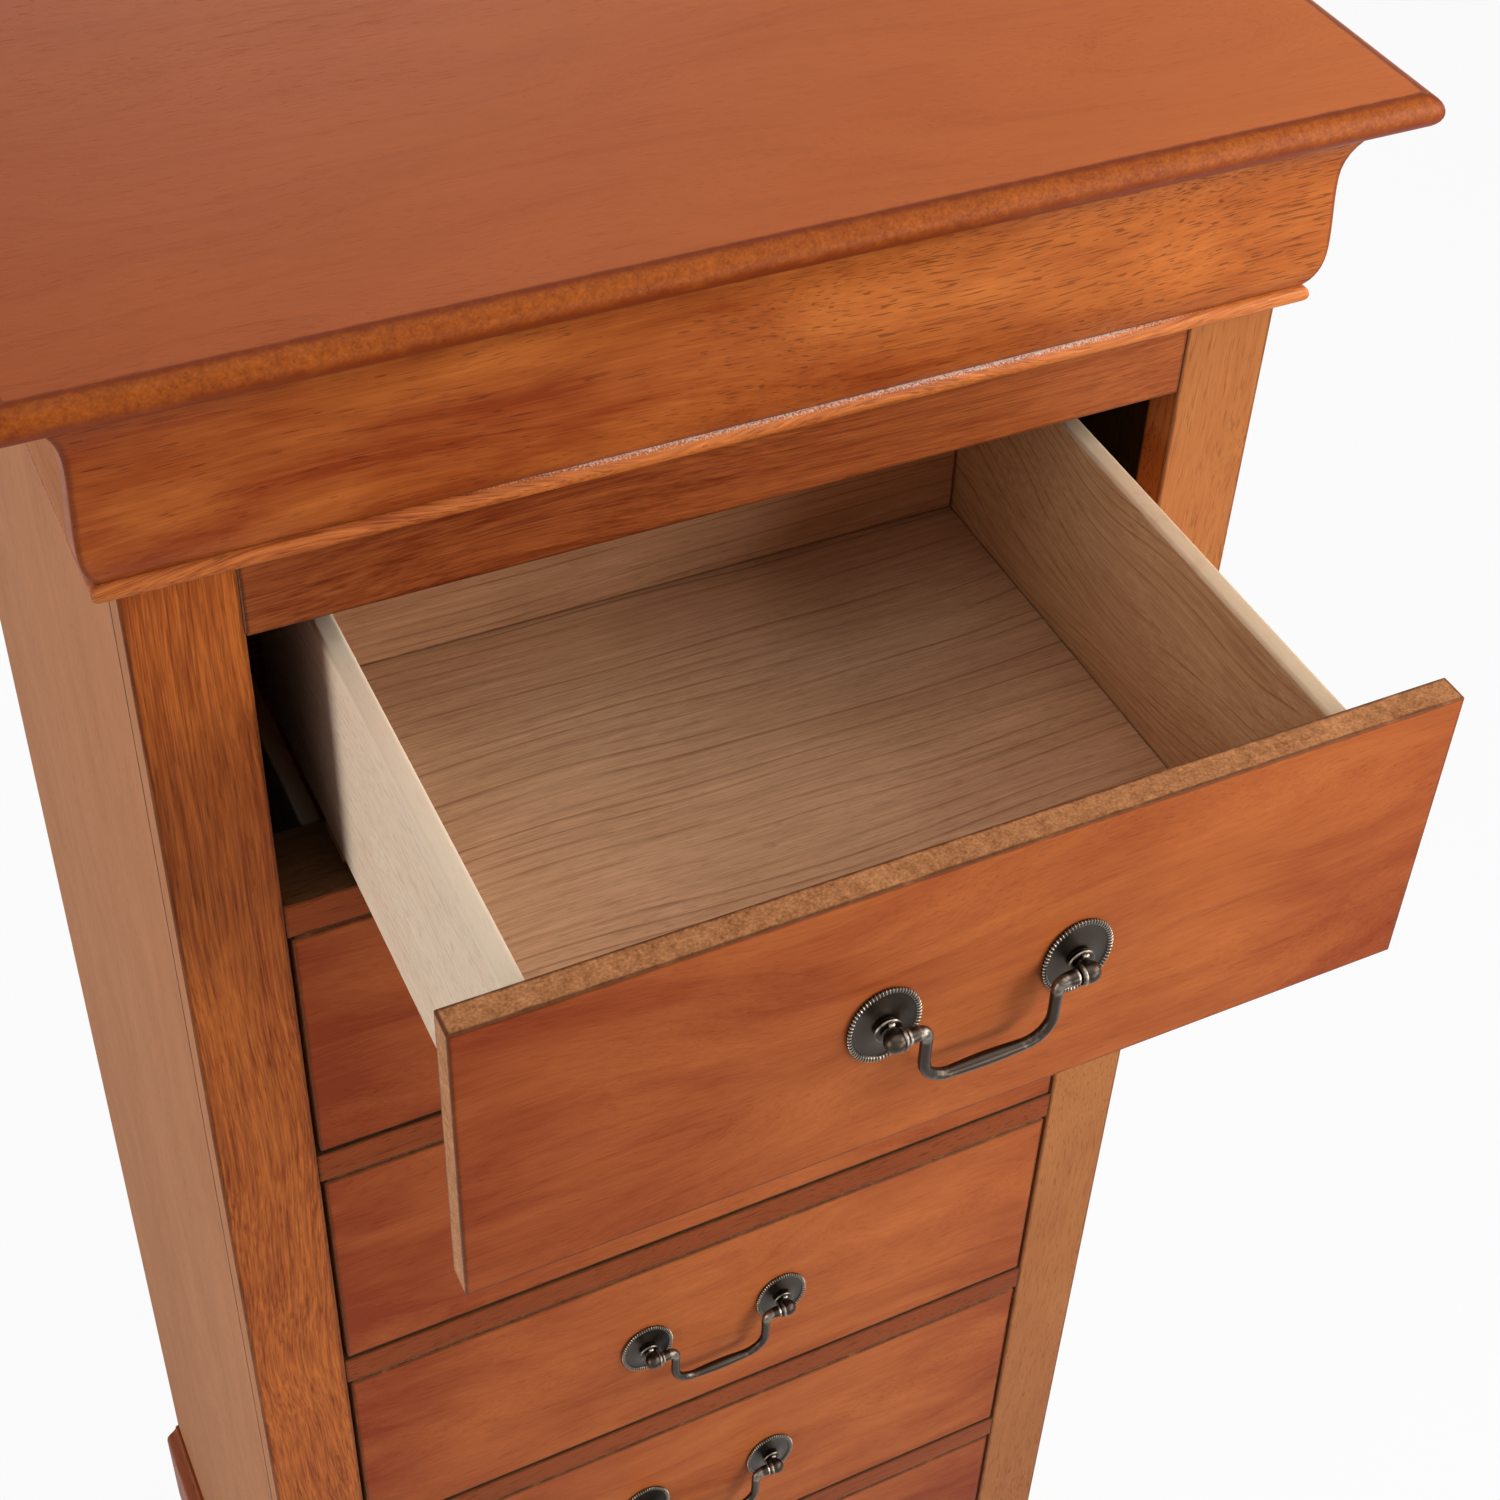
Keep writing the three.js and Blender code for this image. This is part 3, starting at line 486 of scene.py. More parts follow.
# Dark raw wood on the rails' tops and backs: painted shade inside the carcass.
raw_rail_shaded = timber("raw_rail_shaded", "x", (0.12, 0.058, 0.024), (0.06, 0.027, 0.011), (0.03, 0.014, 0.006),
                  gloss=0.75, coat=0, shine=0.05, fibre_contrast=0.4, blotch_contrast=0.5,
                  edge_strength=0.2)
box_low, box_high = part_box("drawer_1_side_left")
glide_inner, glide_outer = -box_high[0], -box_low[0]
for drawer in range(1, DRAWER_COUNT + 1):
    node = f"rail_{drawer}"
    low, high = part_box(node)
    face, top = low[1], low[2] + RAIL_THICKNESS
    board = eased_board(low, (high[0], face + RAIL_DEPTH, top), ease=0.7 * MM, ring=1.2 * MM,
                        board=20 + drawer)
    finished_by(board, lambda n: 1 if max(n.z, n.y) > NEARLY_SQUARE else 0)
    piece(f"{node}_board", board, "carcass", node, "cherry", cherry_x, raw_rail_shaded)
    start = face + RUNNER_START
    runner = eased_board((-RUNNER_HALF, start, top - RUNNER_SUNK), (RUNNER_HALF, high[1], high[2]),
                         ease=0.8 * MM, ring=1 * MM, board=30 + drawer, steps=2)
    for near, far in ((glide_inner, glide_outer), (-glide_outer, -glide_inner)):
        eased_board((near, start, top - RUNNER_SUNK), (far, start + GLIDE_LENGTH, top + GLIDE_RISE),
                    ease=0.5 * MM, ring=1 * MM, board=40 + drawer, into=runner, steps=2)
    piece(f"{node}_runner", runner, "carcass", node, "cherry", runner_wood)

# Top rail
# A deeper rail that closes the frame above the top drawer. The crown covers its upper part, and
# a little pale glue has dried in the joint at its left end.
GLUE_WIDTH = 0.5 * MM
GLUE_STANDS = 0.15 * MM
GLUE_STARTS = 2 * MM
GLUE_SUNK = 1 * MM
low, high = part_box("top_rail")
bead_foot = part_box("bead_moulding")[0][2]
# lean makes the top rail darker to the left and lighter to the right: a painted fall of light.
rail_wood = cherry("cherry_top_rail", "x", (0.46, 0.125, 0.030), (0.17, 0.026, 0.005),
                   fibre_contrast=0.7, wander=5, pore_amount=0.2, lean=0.7)
piece("top_rail_board", eased_board(low, high, ease=0.8 * MM, ring=1.4 * MM, board=28), "carcass",
      "top_rail", "cherry", rail_wood)
dried_glue = timber("dried_glue", "z", (0.34, 0.20, 0.12), (0.16, 0.06, 0.025), (0.08, 0.03, 0.01),
                    gloss=0.5, coat=0, fibre_contrast=0.8, blotch_contrast=1, pore_amount=0.3,
                    edge_strength=0)
glue = eased_board((low[0] - GLUE_WIDTH / 2, low[1] - GLUE_STANDS, low[2] + GLUE_STARTS),
                   (low[0] + GLUE_WIDTH / 2, low[1] + GLUE_SUNK, bead_foot),
                   ease=0.2 * MM, ring=0.1 * MM, board=29)
piece("top_rail_glue", glue, "carcass", "top_rail", "pale_wood", dried_glue)

# Back panel
# A thin sheet of brown board, let in between the sides and held by a row of small nails down
# each edge.
NAIL_RADIUS = 2.2 * MM
NAIL_STANDS = 0.7 * MM
NAIL_INSET = 8 * MM
NAIL_ROWS = 9
low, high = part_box("back_panel")
piece("back_panel_sheet", eased_board(low, high, ease=0.4 * MM, ring=1 * MM, board=5), "carcass",
      "back_panel", "raw_board", raw_board)


def turned(profile, sides):
    """A closed outline of (radius, out, wear) turned about Y, standing out along -Y."""
    bm = bmesh.new()
    worn = bm.verts.layers.float.new("arris")
    outline = []
    for radius, out, wear in profile:
        outline.append(bm.verts.new((radius, -out, 0)))
        outline[-1][worn] = wear
    edges = [bm.edges.new(pair) for pair in zip(outline, outline[1:])]
    bmesh.ops.spin(bm, geom=outline + edges, cent=(0, 0, 0), axis=(0, 1, 0), dvec=(0, 0, 0),
                   angle=2 * math.pi, steps=sides, use_merge=True)
    bmesh.ops.remove_doubles(bm, verts=bm.verts, dist=WELD / 10)
    return bm


def fit_into(whole, part, place):
    """Move one shaped mesh to its place and make it part of another."""
    bmesh.ops.transform(part, matrix=place, verts=part.verts)
    spare = bpy.data.meshes.new("spare")
    part.to_mesh(spare)
    part.free()
    whole.from_mesh(spare)
    bpy.data.meshes.remove(spare)


def metal(name, dark, bright, roughness, wear):
    """A dark plated metal, mottled, and rubbed bright where the piece says it is worn."""
    material, tree = new_material(name)
    place = node_of(tree, "ShaderNodeTexCoord", {}).outputs["Object"]
    mottle = noise(tree, place, 4, scale=520)
    worn = node_of(tree, "ShaderNodeAttribute", {}, attribute_name="arris").outputs["Fac"]
    wear_and_glint = ranged(tree, math_of(tree, "MULTIPLY_ADD", mottle, 0.7, worn), 0.62, 1.35, 0.0, wear)
    rough = node_of(tree, "ShaderNodeMapRange", {"Value": mottle, "To Min": roughness - 0.06,
                                                 "To Max": roughness + 0.12}).outputs["Result"]
    dress(tree, blended(tree, wear_and_glint, (*dark, 1), (*bright, 1)), rough, mottle, strength=0.25,
          depth=0.08 * MM, others={"Metallic": 1.0})
    return material


nail_steel = metal("nail_steel", (0.16, 0.15, 0.14), (0.5, 0.48, 0.46), roughness=0.4, wear=0.6)
nails = bmesh.new()
for side in (-1, 1):
    for row in range(NAIL_ROWS):
        head = turned([(0, 0, 0), (NAIL_RADIUS, 0, 0), (NAIL_RADIUS, NAIL_STANDS / 2, 1),
                       (NAIL_RADIUS * 0.7, NAIL_STANDS, 0.5), (0, NAIL_STANDS, 0.5)], 10)
        height = low[2] + NAIL_INSET + (high[2] - low[2] - 2 * NAIL_INSET) * row / (NAIL_ROWS - 1)
        place = Vector((side * (high[0] - NAIL_INSET), high[1], height))
        fit_into(nails, head, Matrix.Translation(place) @ Matrix.Rotation(math.pi, 4, "Z"))
piece("back_panel_nails", nails, "carcass", "back_panel", "bronze", nail_steel)

# Bead
# A small half-round moulding, glued round the front and both sides where the crown meets the
# frame. Along its upper edge a painted glint of light shows as pale specks, most of all right of the
# middle.
CORNER_RADIUS = 1.2 * MM
CORNER_MARGIN = 2.2 * MM
BEAD_ROOT = 5.4 * MM
BEAD_STEPS = 10
# Spots along the bead's front (x, strength) where its upper edge carries a painted glint: pale specks of
# light.
BEAD_GLINTS = ((-0.14, 0.15), (-0.06, 0.85), (0.14, 1.0), (0.2, 0.3))
BEAD_GLINT_ELSEWHERE = 0.3


def moulding(plan, edge, board):
    """Rings of a plan at each (projection, height, stain and light) of the edge, joined and capped.

    The third value is stain, and on some runs painted shade and painted glints. None keeps the corners
    plain too.
    """
    bm = bmesh.new()
    number = bm.verts.layers.float.new("board")
    arris = bm.verts.layers.float.new("arris")
    rings = []
    for out, height, stain_and_light in edge:
        ring = []
        for x, y, corner in plan(out):
            vert = bm.verts.new((x, y, height))
            vert[number] = board
            vert[arris] = 0 if stain_and_light is None else max(stain_and_light, corner)
            ring.append(vert)
        rings.append([bm.edges.new(pair) for pair in zip(ring, ring[1:] + ring[:1])])
    for lower, upper in zip(rings, rings[1:]):
        bmesh.ops.bridge_loops(bm, edges=lower + upper)
    for end in (rings[0], rings[-1]):
        bmesh.ops.edgeloop_fill(bm, edges=end)
    return bm


def front_plan(back, inner=(), breaks=()):
    """Square at the back, and a small round at each front corner, with a margin beside it."""
    def plan(out):
        half, front = half_carcass + out, carcass_face - out
        points = [(-half, back, 0)]
        for side, first in ((-1, 180), (1, 270)):
            middle = Vector((side * (half - CORNER_RADIUS), front + CORNER_RADIUS))
            margins = [(side * half, front + CORNER_RADIUS + CORNER_MARGIN, 0),
                       (side * (half - CORNER_RADIUS - CORNER_MARGIN), front, 0)]
            arc = [(middle.x + CORNER_RADIUS * math.cos(math.radians(first + step)),
                    middle.y + CORNER_RADIUS * math.sin(math.radians(first + step)), 1)
                   for step in (0, 22.5, 45, 67.5, 90)]
            points += [margins[0], *arc, margins[1]] if side < 0 else [margins[1], *arc, margins[0]]
            points += [(x, front, 0) for x in breaks if side < 0]
        return [*points, (half, back, 0), *inner]
    return plan


def half_round(root, reach, foot, rise, steps, stain_and_light):
    """Edge points round a nose from its foot, each with the stain and painted light for its lift from -1
    to 1.
    """
    angles = [math.pi * (step / steps - 0.5) for step in range(steps + 1)]
    return [(root + reach * math.cos(a), foot + rise + rise * math.sin(a), stain_and_light(math.sin(a)))
            for a in angles]


low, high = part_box("side_panel_left")
half_carcass, carcass_back = -low[0], high[1]
carcass_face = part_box("stile_left")[0][1]
low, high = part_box("bead_moulding")
edge = [(BEAD_ROOT - 1 * MM, low[2], 0)]
# The upper half of the round takes the pale edge colour, which paints the glint.
edge += half_round(BEAD_ROOT, high[0] - half_carcass - BEAD_ROOT, low[2], (high[2] - low[2]) / 2,
                   BEAD_STEPS, lambda lift: max(0, lift) ** 2.5)
behind = [(half_carcass, carcass_back, 0), (half_carcass, carcass_face, 0),
          (-half_carcass, carcass_face, 0), (-half_carcass, carcass_back, 0)]
# The pale edge colour is the painted glint; lean paints light, lighter towards the bead's right end.
bead_wood = cherry("cherry_bead", "x", (0.84, 0.265, 0.054), (0.34, 0.068, 0.012), shine=0.2,
                   fibre_contrast=0.7, lean=1.0, edge=(0.78, 0.68, 0.62), edge_strength=0.95,
                   edge_fineness=1300, edge_raggedness=4)
bead_run = moulding(front_plan(carcass_back, behind, [x for x, _ in BEAD_GLINTS]), edge, 51)
arris = bead_run.verts.layers.float["arris"]
# On the front, each point takes the painted glint of its listed spot, and a faint one elsewhere.
for vert in bead_run.verts:
    if vert.co.y < carcass_face:
        x, wear_and_glint = min(BEAD_GLINTS, key=lambda spot: abs(spot[0] - vert.co.x))
        vert[arris] *= wear_and_glint if abs(x - vert.co.x) < 1 * MM else BEAD_GLINT_ELSEWHERE
piece("bead_run", bead_run, "carcass", "bead_moulding", "cherry", bead_wood)

# Crown
# An ogee moulding in three lengths: the front one runs across with its ends shaped to the same
# curve, and a length butts behind it on each side. All are glued and screwed to the frame.
CROWN_FOOT = 6.2 * MM
CROWN_BELLY = 11.6 * MM
CROWN_BELLY_HEIGHT = 19 * MM
CROWN_WAIST = 10.3 * MM
CROWN_WAIST_HEIGHT = 50 * MM
CROWN_COVE_TURN = 0.55
CROWN_STAIN_AND_SHADE_RISE = 7 * MM
CROWN_STEPS = 9
CROWN_END_STAIN = 0.6
low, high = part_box("crown_front")
crown_cap = high[0] - half_carcass
crown_height = high[2] - low[2]
swell = (CROWN_WAIST_HEIGHT - CROWN_BELLY_HEIGHT) / 3
turn_height = CROWN_WAIST_HEIGHT + (crown_height - CROWN_WAIST_HEIGHT) * CROWN_COVE_TURN


def curve(*controls):
    """Points along a curve with one or two turning points, without its first point."""
    points = [Vector((*control, 0)) for control in controls]
    if len(points) == 3:
        start, turn, end = points
        points = [start, start.lerp(turn, 2 / 3), end.lerp(turn, 2 / 3), end]
    return [(p.x, p.y) for p in geometry.interpolate_bezier(*points, CROWN_STEPS)[1:]]


ogee = [(CROWN_FOOT, 0)]
ogee += curve((CROWN_FOOT, 0), (CROWN_BELLY, CROWN_BELLY_HEIGHT / 3), (CROWN_BELLY, CROWN_BELLY_HEIGHT))
ogee += curve((CROWN_BELLY, CROWN_BELLY_HEIGHT), (CROWN_BELLY, CROWN_BELLY_HEIGHT + swell),
              (CROWN_WAIST, CROWN_WAIST_HEIGHT - swell), (CROWN_WAIST, CROWN_WAIST_HEIGHT))
ogee += curve((CROWN_WAIST, CROWN_WAIST_HEIGHT), (CROWN_WAIST, turn_height), (crown_cap, crown_height))


def stain_and_shade_at(height):
    """Stain and painted shade by height: most at the foot against the bead and up in the cove under the
    top.
    """
    foot = max(0, 1 - height / CROWN_STAIN_AND_SHADE_RISE)
    cove = max(0, (height - CROWN_WAIST_HEIGHT) / (crown_height - CROWN_WAIST_HEIGHT))
    return max(0.9 * foot, 0.85 * cove ** 0.7)


def side_plan(side):
    """The plan of a side run: a plain length between the front run and the back."""
    def plan(out):
        outer, inner = side * (half_carcass + out), side * half_carcass
        return [(outer, carcass_face, CROWN_END_STAIN), (outer, carcass_face + CORNER_MARGIN, 0),
                (outer, carcass_back, CROWN_END_STAIN), (inner, carcass_back, 0),
                (inner, carcass_face, 0)]
    return plan


# Each height of the crown gets stain and painted shade at its foot by the bead and in its cove under the
# top.
edge = [(out, low[2] + height, stain_and_shade_at(height)) for out, height in ogee]
# lean lightens the frieze towards its right end: painted light.
frieze_wood = cherry("cherry_frieze", "x", (0.70, 0.210, 0.042), (0.28, 0.046, 0.008), ring_period=16,
                     ring_contrast=0.1, wander=6, blotch_contrast=0.8, pore_amount=0.5,
                     pore_cover=-0.03, pore_lean=0.28, lean=0.5, edge=(0.13, 0.030, 0.009))
# Pale cherry for the crown's side runs: stained wood with painted sheen, the grazing reflection along the
# sides, in the colour.
crown_side_with_sheen = cherry("cherry_crown_side", "y", (0.54, 0.205, 0.078), (0.37, 0.122, 0.042),
                    gloss=0.7, shine=0.12, fibre_contrast=0.22, pore_amount=0.2, edge=(0.16, 0.05, 0.02))
piece("crown_front_run", moulding(front_plan(carcass_face), edge, 61), "carcass", "crown_front",
      "cherry", frieze_wood)
for number, (hand, side) in enumerate((("left", -1), ("right", 1))):
    piece(f"crown_{hand}_run", moulding(side_plan(side), edge, 62 + number), "carcass",
          f"crown_{hand}", "cherry", crown_side_with_sheen)

# Top board
# A veneered fibreboard slab with a full round nose on its front and sides. The nose is bare
# fibreboard under the stain, so it is speckled, with a dark line where the veneer ends.
NOSE_STEPS = 14
VENEER_MARGIN = 2 * MM


def fibre_speckle():
    """Stained fibreboard: fine fibres and flecks with no grain, over soft blotches."""
    tree, given, result = group_of("fibre_speckle", ["Place"], ["Light", "Dark"], {"Coarseness": 0.5},
                                   ["Color", "Relief"])
    total = 0.0
    for scale, detail, share in ((900, 2, 1.0), (330, 3, 0.9), (38, 2, 0.5)):
        layer = noise(tree, given["Place"], detail, scale)
        swing = math_of(tree, "MULTIPLY_ADD", layer, 2.2 * share, -1.1 * share)
        total = math_of(tree, "ADD", total, swing)
    tone = math_of(tree, "MULTIPLY_ADD", total, given["Coarseness"], 0.5)
    tree.links.new(blended(tree, tone, given["Dark"], given["Light"]), result["Color"])
    tree.links.new(total, result["Relief"])
    return tree


SPECKLE = fibre_speckle()


def fibreboard(name, light, dark, coarseness, roughness, line, line_strength):
    """The stained edge of a fibreboard, darker where the piece has an arris."""
    material, tree = new_material(name)
    place = node_of(tree, "ShaderNodeTexCoord", {}).outputs["Object"]
    speckle = node_of(tree, "ShaderNodeGroup",
                      {"Place": place, "Light": (*light, 1), "Dark": (*dark, 1),
                       "Coarseness": coarseness}, node_tree=SPECKLE).outputs
    colour = with_stain_and_light(tree, place, speckle["Color"], line, line_strength)
    dress(tree, colour, roughness, speckle["Relief"], strength=0.3, depth=0.1 * MM,
          others={"Specular IOR Level": 0.12})
    return material


def nose_stain_and_shade(lift):
    """Painted shade below the middle of the nose, where it turns down, and a dark stain line where the
    veneer ends.
    """
    return max(min(1, max(0, 0.75 - lift) / 1.2), max(0, lift) ** 7)


nose_board = fibreboard("nose_fibreboard", (0.52, 0.128, 0.014), (0.20, 0.032, 0.004),
                        coarseness=0.45, roughness=0.42, line=(0.23, 0.036, 0.008), line_strength=0.9)
raw_edge = fibreboard("raw_fibreboard", (0.42, 0.27, 0.15), (0.28, 0.16, 0.08), coarseness=0.35,
                      roughness=0.75, line=(0.16, 0.08, 0.04), line_strength=0.5)
# lean lightens the top towards its right end: painted light.
top_veneer = cherry("cherry_top", "x", (0.74, 0.198, 0.052), (0.40, 0.076, 0.016), ring_period=19,
                    ring_contrast=0.08, fibre_contrast=0.1, blotch_contrast=0.14, pore_amount=0.05,
                    lean=0.9)
low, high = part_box("top_board")
nose = (high[2] - low[2]) / 2
root = high[0] - half_carcass - nose
edge = [(root - VENEER_MARGIN, low[2], None)]
edge += half_round(root, nose, low[2], nose, NOSE_STEPS, nose_stain_and_shade)
edge += [(root - VENEER_MARGIN, high[2], None)]
slab = moulding(front_plan(carcass_back), edge, 71)
bmesh.ops.recalc_face_normals(slab, faces=slab.faces)
finished_by(slab, lambda n: 2 if n.y > 0.99 else 0 if abs(n.z) > 0.995 else 1)
piece("top_board_slab", slab, "carcass", "top_board", "cherry", top_veneer, nose_board, raw_edge)

# Drawer fronts
# Cherry veneer on fibreboard. The top and side edges are bare fibreboard under the stain, which
# has gathered in a dark line along each arris of the face.
# lean lightens the fronts towards the right as painted light; dark_ends darkens both ends of each front.
front_veneer = cherry("cherry_front", "x", (0.66, 0.186, 0.045), (0.28, 0.042, 0.007), ring_period=24,
                      ring_contrast=0.12, wander=16, fibre_contrast=0.22, blotch_contrast=0.55,
                      pore_amount=0.12, shine=0.08, lean=0.3, dark_ends=10)
front_edge = fibreboard("front_fibreboard", (0.72, 0.32, 0.130), (0.26, 0.091, 0.028),
                        coarseness=0.6, roughness=0.6, line=(0.10, 0.03, 0.012), line_strength=0.85)
for drawer in range(1, DRAWER_COUNT + 1):
    node = f"drawer_{drawer}_front"
    front = eased_board(*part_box(node), ease=0.6 * MM, ring=1.7 * MM, board=80 + drawer)
    finished_by(front, lambda n: 0 if abs(n.y) > NEARLY_SQUARE else 1)
    piece(f"{node}_board", front, f"drawer_{drawer}", node, "cherry", front_veneer, front_edge)

# Drawer boxes
# Pale lacquered wood: two sides with rounded top edges, a back let in between them, and a thin
# bottom with two strips under it that straddle the runner. All are grooved and glued together.
BOX_SIDE_THICKNESS = 9 * MM
BOX_EDGE_ROUND = 2 * MM
BOX_RISE = 2.6 * MM
FLOOR_THICKNESS = 5 * MM
FLOOR_RISE = 7.4 * MM
STRIP_NEAR = 16 * MM
STRIP_WIDTH = 8 * MM
STRIP_DROP = 7 * MM
STRIP_START = 2 * MM
STRIP_SUNK = 1 * MM
FIT = 0.2 * MM
PALE_PORE = (0.28, 0.14, 0.065)
# Pale colour for the drawer sides' rounded top edges: a painted highlight where the round faces up.
PALE_EDGE_HIGHLIGHT = (1.0, 0.84, 0.62)


def pale(name, grain, light, dark, edge=PALE_EDGE_HIGHLIGHT, **figure):
    """Pale wood with fine sharp rings and many short pores under a thin lacquer."""
    settings = {"ring_period": 3.4, "ring_contrast": 0.6, "ring_sharpness": 8, "wander": 2,
                "fibre_contrast": 0.5, "blotch_contrast": 0.35, "pore_amount": 0.25,
                "pore_fineness": 1.5, "edge_strength": 0.85, "shine": 0.0}
    return timber(name, grain, light, dark, PALE_PORE, gloss=0.75, coat=0, edge=edge,
                  **{**settings, **figure})


def box_side(low, high, board):
    """A side board whose two long top edges are rounded over."""
    bm = bmesh.new()
    cube = bmesh.ops.create_cube(bm, size=1)["verts"]
    bmesh.ops.scale(bm, vec=high - low, verts=cube)
    bmesh.ops.translate(bm, vec=(high + low) / 2, verts=cube)
    crest = [e for e in bm.edges if all(v.co.z > high.z - WELD for v in e.verts)
             and abs(e.verts[0].co.y - e.verts[1].co.y) > 1 * MM]
    bmesh.ops.bevel(bm, geom=crest, offset=BOX_EDGE_ROUND, offset_type="OFFSET", segments=6,
                    profile=0.5, affect="EDGES", material=-1, clamp_overlap=True)
    bm.normal_update()
    faces = [f for f in bm.faces if abs(f.normal.x) > 0.999]
    bmesh.ops.inset_individual(bm, faces=faces, thickness=1.2 * MM, use_even_offset=True)
    # The top of the round takes the pale edge colour, a painted highlight.
    marked(bm, board, lambda vert: vert.co.z > high.z - BOX_EDGE_ROUND * 0.6)
    return bm


pale_across = pale("pale_across", "x", (0.84, 0.52, 0.30), (0.44, 0.225, 0.115), edge=PALE_PORE)
# Lit and shaded copies of one pale wood: the left side, lit from the left, is painted very pale; the right
# side, in the box's shade, darker and redder. Each has a painted highlight on its top edge.
pale_sides_lit_and_shaded = {"left": pale("pale_left_lit", "y", (1.0, 0.84, 0.66), (0.84, 0.61, 0.42), wander=5),
             "right": pale("pale_right_shaded", "y", (0.74, 0.47, 0.265), (0.42, 0.215, 0.085),
                           edge=(0.80, 0.62, 0.42), wander=9)}
for drawer in range(1, DRAWER_COUNT + 1):
    body = f"drawer_{drawer}"
    stands_for = {name: f"{body}_{name}" if drawer == 1 else f"{body}_box"
                  for name in ("side_left", "side_right", "back", "bottom")}
    front_low, front_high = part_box(f"{body}_front")
    box_low, box_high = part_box(stands_for["side_left"])
    outer, inner = -box_low[0], -box_low[0] - BOX_SIDE_THICKNESS
    near, far, top = front_high[1], box_high[1], box_high[2]
    side_bottom = front_low[2] + BOX_RISE
    floor_low = side_bottom + FLOOR_RISE
    floor_high = floor_low + FLOOR_THICKNESS
    numbers = 100 + 10 * drawer
    for hand, side in (("left", -1), ("right", 1)):
        x = sorted((side * inner, side * outer))
        board = box_side(Vector((x[0], near, side_bottom)), Vector((x[1], far, top)), numbers + side)
        piece(f"{body}_board_{hand}", board, body, stands_for[f"side_{hand}"], "pale_wood",
              pale_sides_lit_and_shaded[hand])
    back = eased_board((-inner + FIT, far - BOX_SIDE_THICKNESS, floor_high), (inner - FIT, far, top),
                       ease=1.2 * MM, ring=1.2 * MM, board=numbers + 3, steps=4)
    piece(f"{body}_board_back", back, body, stands_for["back"], "pale_wood", pale_across)
    floor = eased_board((-inner + FIT, near, floor_low), (inner - FIT, far, floor_high),
                        ease=0.3 * MM, ring=1 * MM, board=numbers + 4)
    for side in (-1, 1):
        x = sorted((side * STRIP_NEAR, side * (STRIP_NEAR + STRIP_WIDTH)))
        eased_board((x[0], near + STRIP_START, floor_low - STRIP_DROP),
                    (x[1], far, floor_low + STRIP_SUNK), ease=0.4 * MM, ring=1 * MM,
                    board=numbers + 5, into=floor, steps=2)
    piece(f"{body}_board_bottom", floor, body, stands_for["bottom"], "pale_wood", pale_across)

# Pulls
# Cast metal with a dark finish. Each has two oval plates with a roped rim, held by a screw from
# inside the front, each with a ringed stem, a stud and a ball eye. The bail's pins turn in the eyes.
PULL_HALF = 38.1 * MM
PIVOT_OUT = 9 * MM
STUD_OUT = 5.6 * MM
PLATE_HALF_WIDTH = 14.3 * MM
PLATE_HALF_HEIGHT = 18.3 * MM
RIM_INSIDE = 12.2 * MM
RIM_FOOT = 0.3 * MM
RIM_TEETH = 66
TOOTH_STEPS = 3
TOOTH_RISE = 0.4 * MM
TOOTH_NOTCH = 0.45 * MM
TURNED_SIDES = 28
STUD_SIDES = 16
SCREW_SIDES = 20
BAIL_SIDES = 18


def in_mm(*points):
    """Stations given in millimetres, with a wear value at the end of each."""
    return [(*(size * MM for size in point[:-1]), point[-1]) for point in points]


def roped_plate():
    """An oval plate whose raised rim is cut into small radial teeth."""
    bm = turned(in_mm((0, 0, 0), (13.7, 0, 0), (14.2, 0.4, 0), (14.3, 1.0, 0), (14.15, 1.45, 0),
                      (13.7, 1.75, 0), (13.1, 1.75, 0), (12.55, 1.4, 0), (12.1, 0.95, 0),
                      (11.6, 0.9, 0.1), (9.6, 1.05, 0), (6.4, 1.35, 0), (5.6, 1.7, 0.1),
                      (4, 1.8, 0), (0, 1.85, 0)), RIM_TEETH * TOOTH_STEPS)
    worn = bm.verts.layers.float["arris"]
    for vert in bm.verts:
        if math.hypot(vert.co.x, vert.co.z) < RIM_INSIDE or vert.co.y > -RIM_FOOT:
            continue
        wave = math.cos(RIM_TEETH * math.atan2(vert.co.z, vert.co.x))
        vert.co.y -= TOOTH_RISE * 0.5 * wave
        vert.co.x *= 1 + (wave - 1) * TOOTH_NOTCH * 0.5 / PLATE_HALF_WIDTH
        vert.co.z *= 1 + (wave - 1) * TOOTH_NOTCH * 0.5 / PLATE_HALF_WIDTH
        vert[worn] = 1.0 if wave > 0.5 else 0.0
    bmesh.ops.scale(bm, vec=(1, 1, PLATE_HALF_HEIGHT / PLATE_HALF_WIDTH), verts=bm.verts)
    return bm


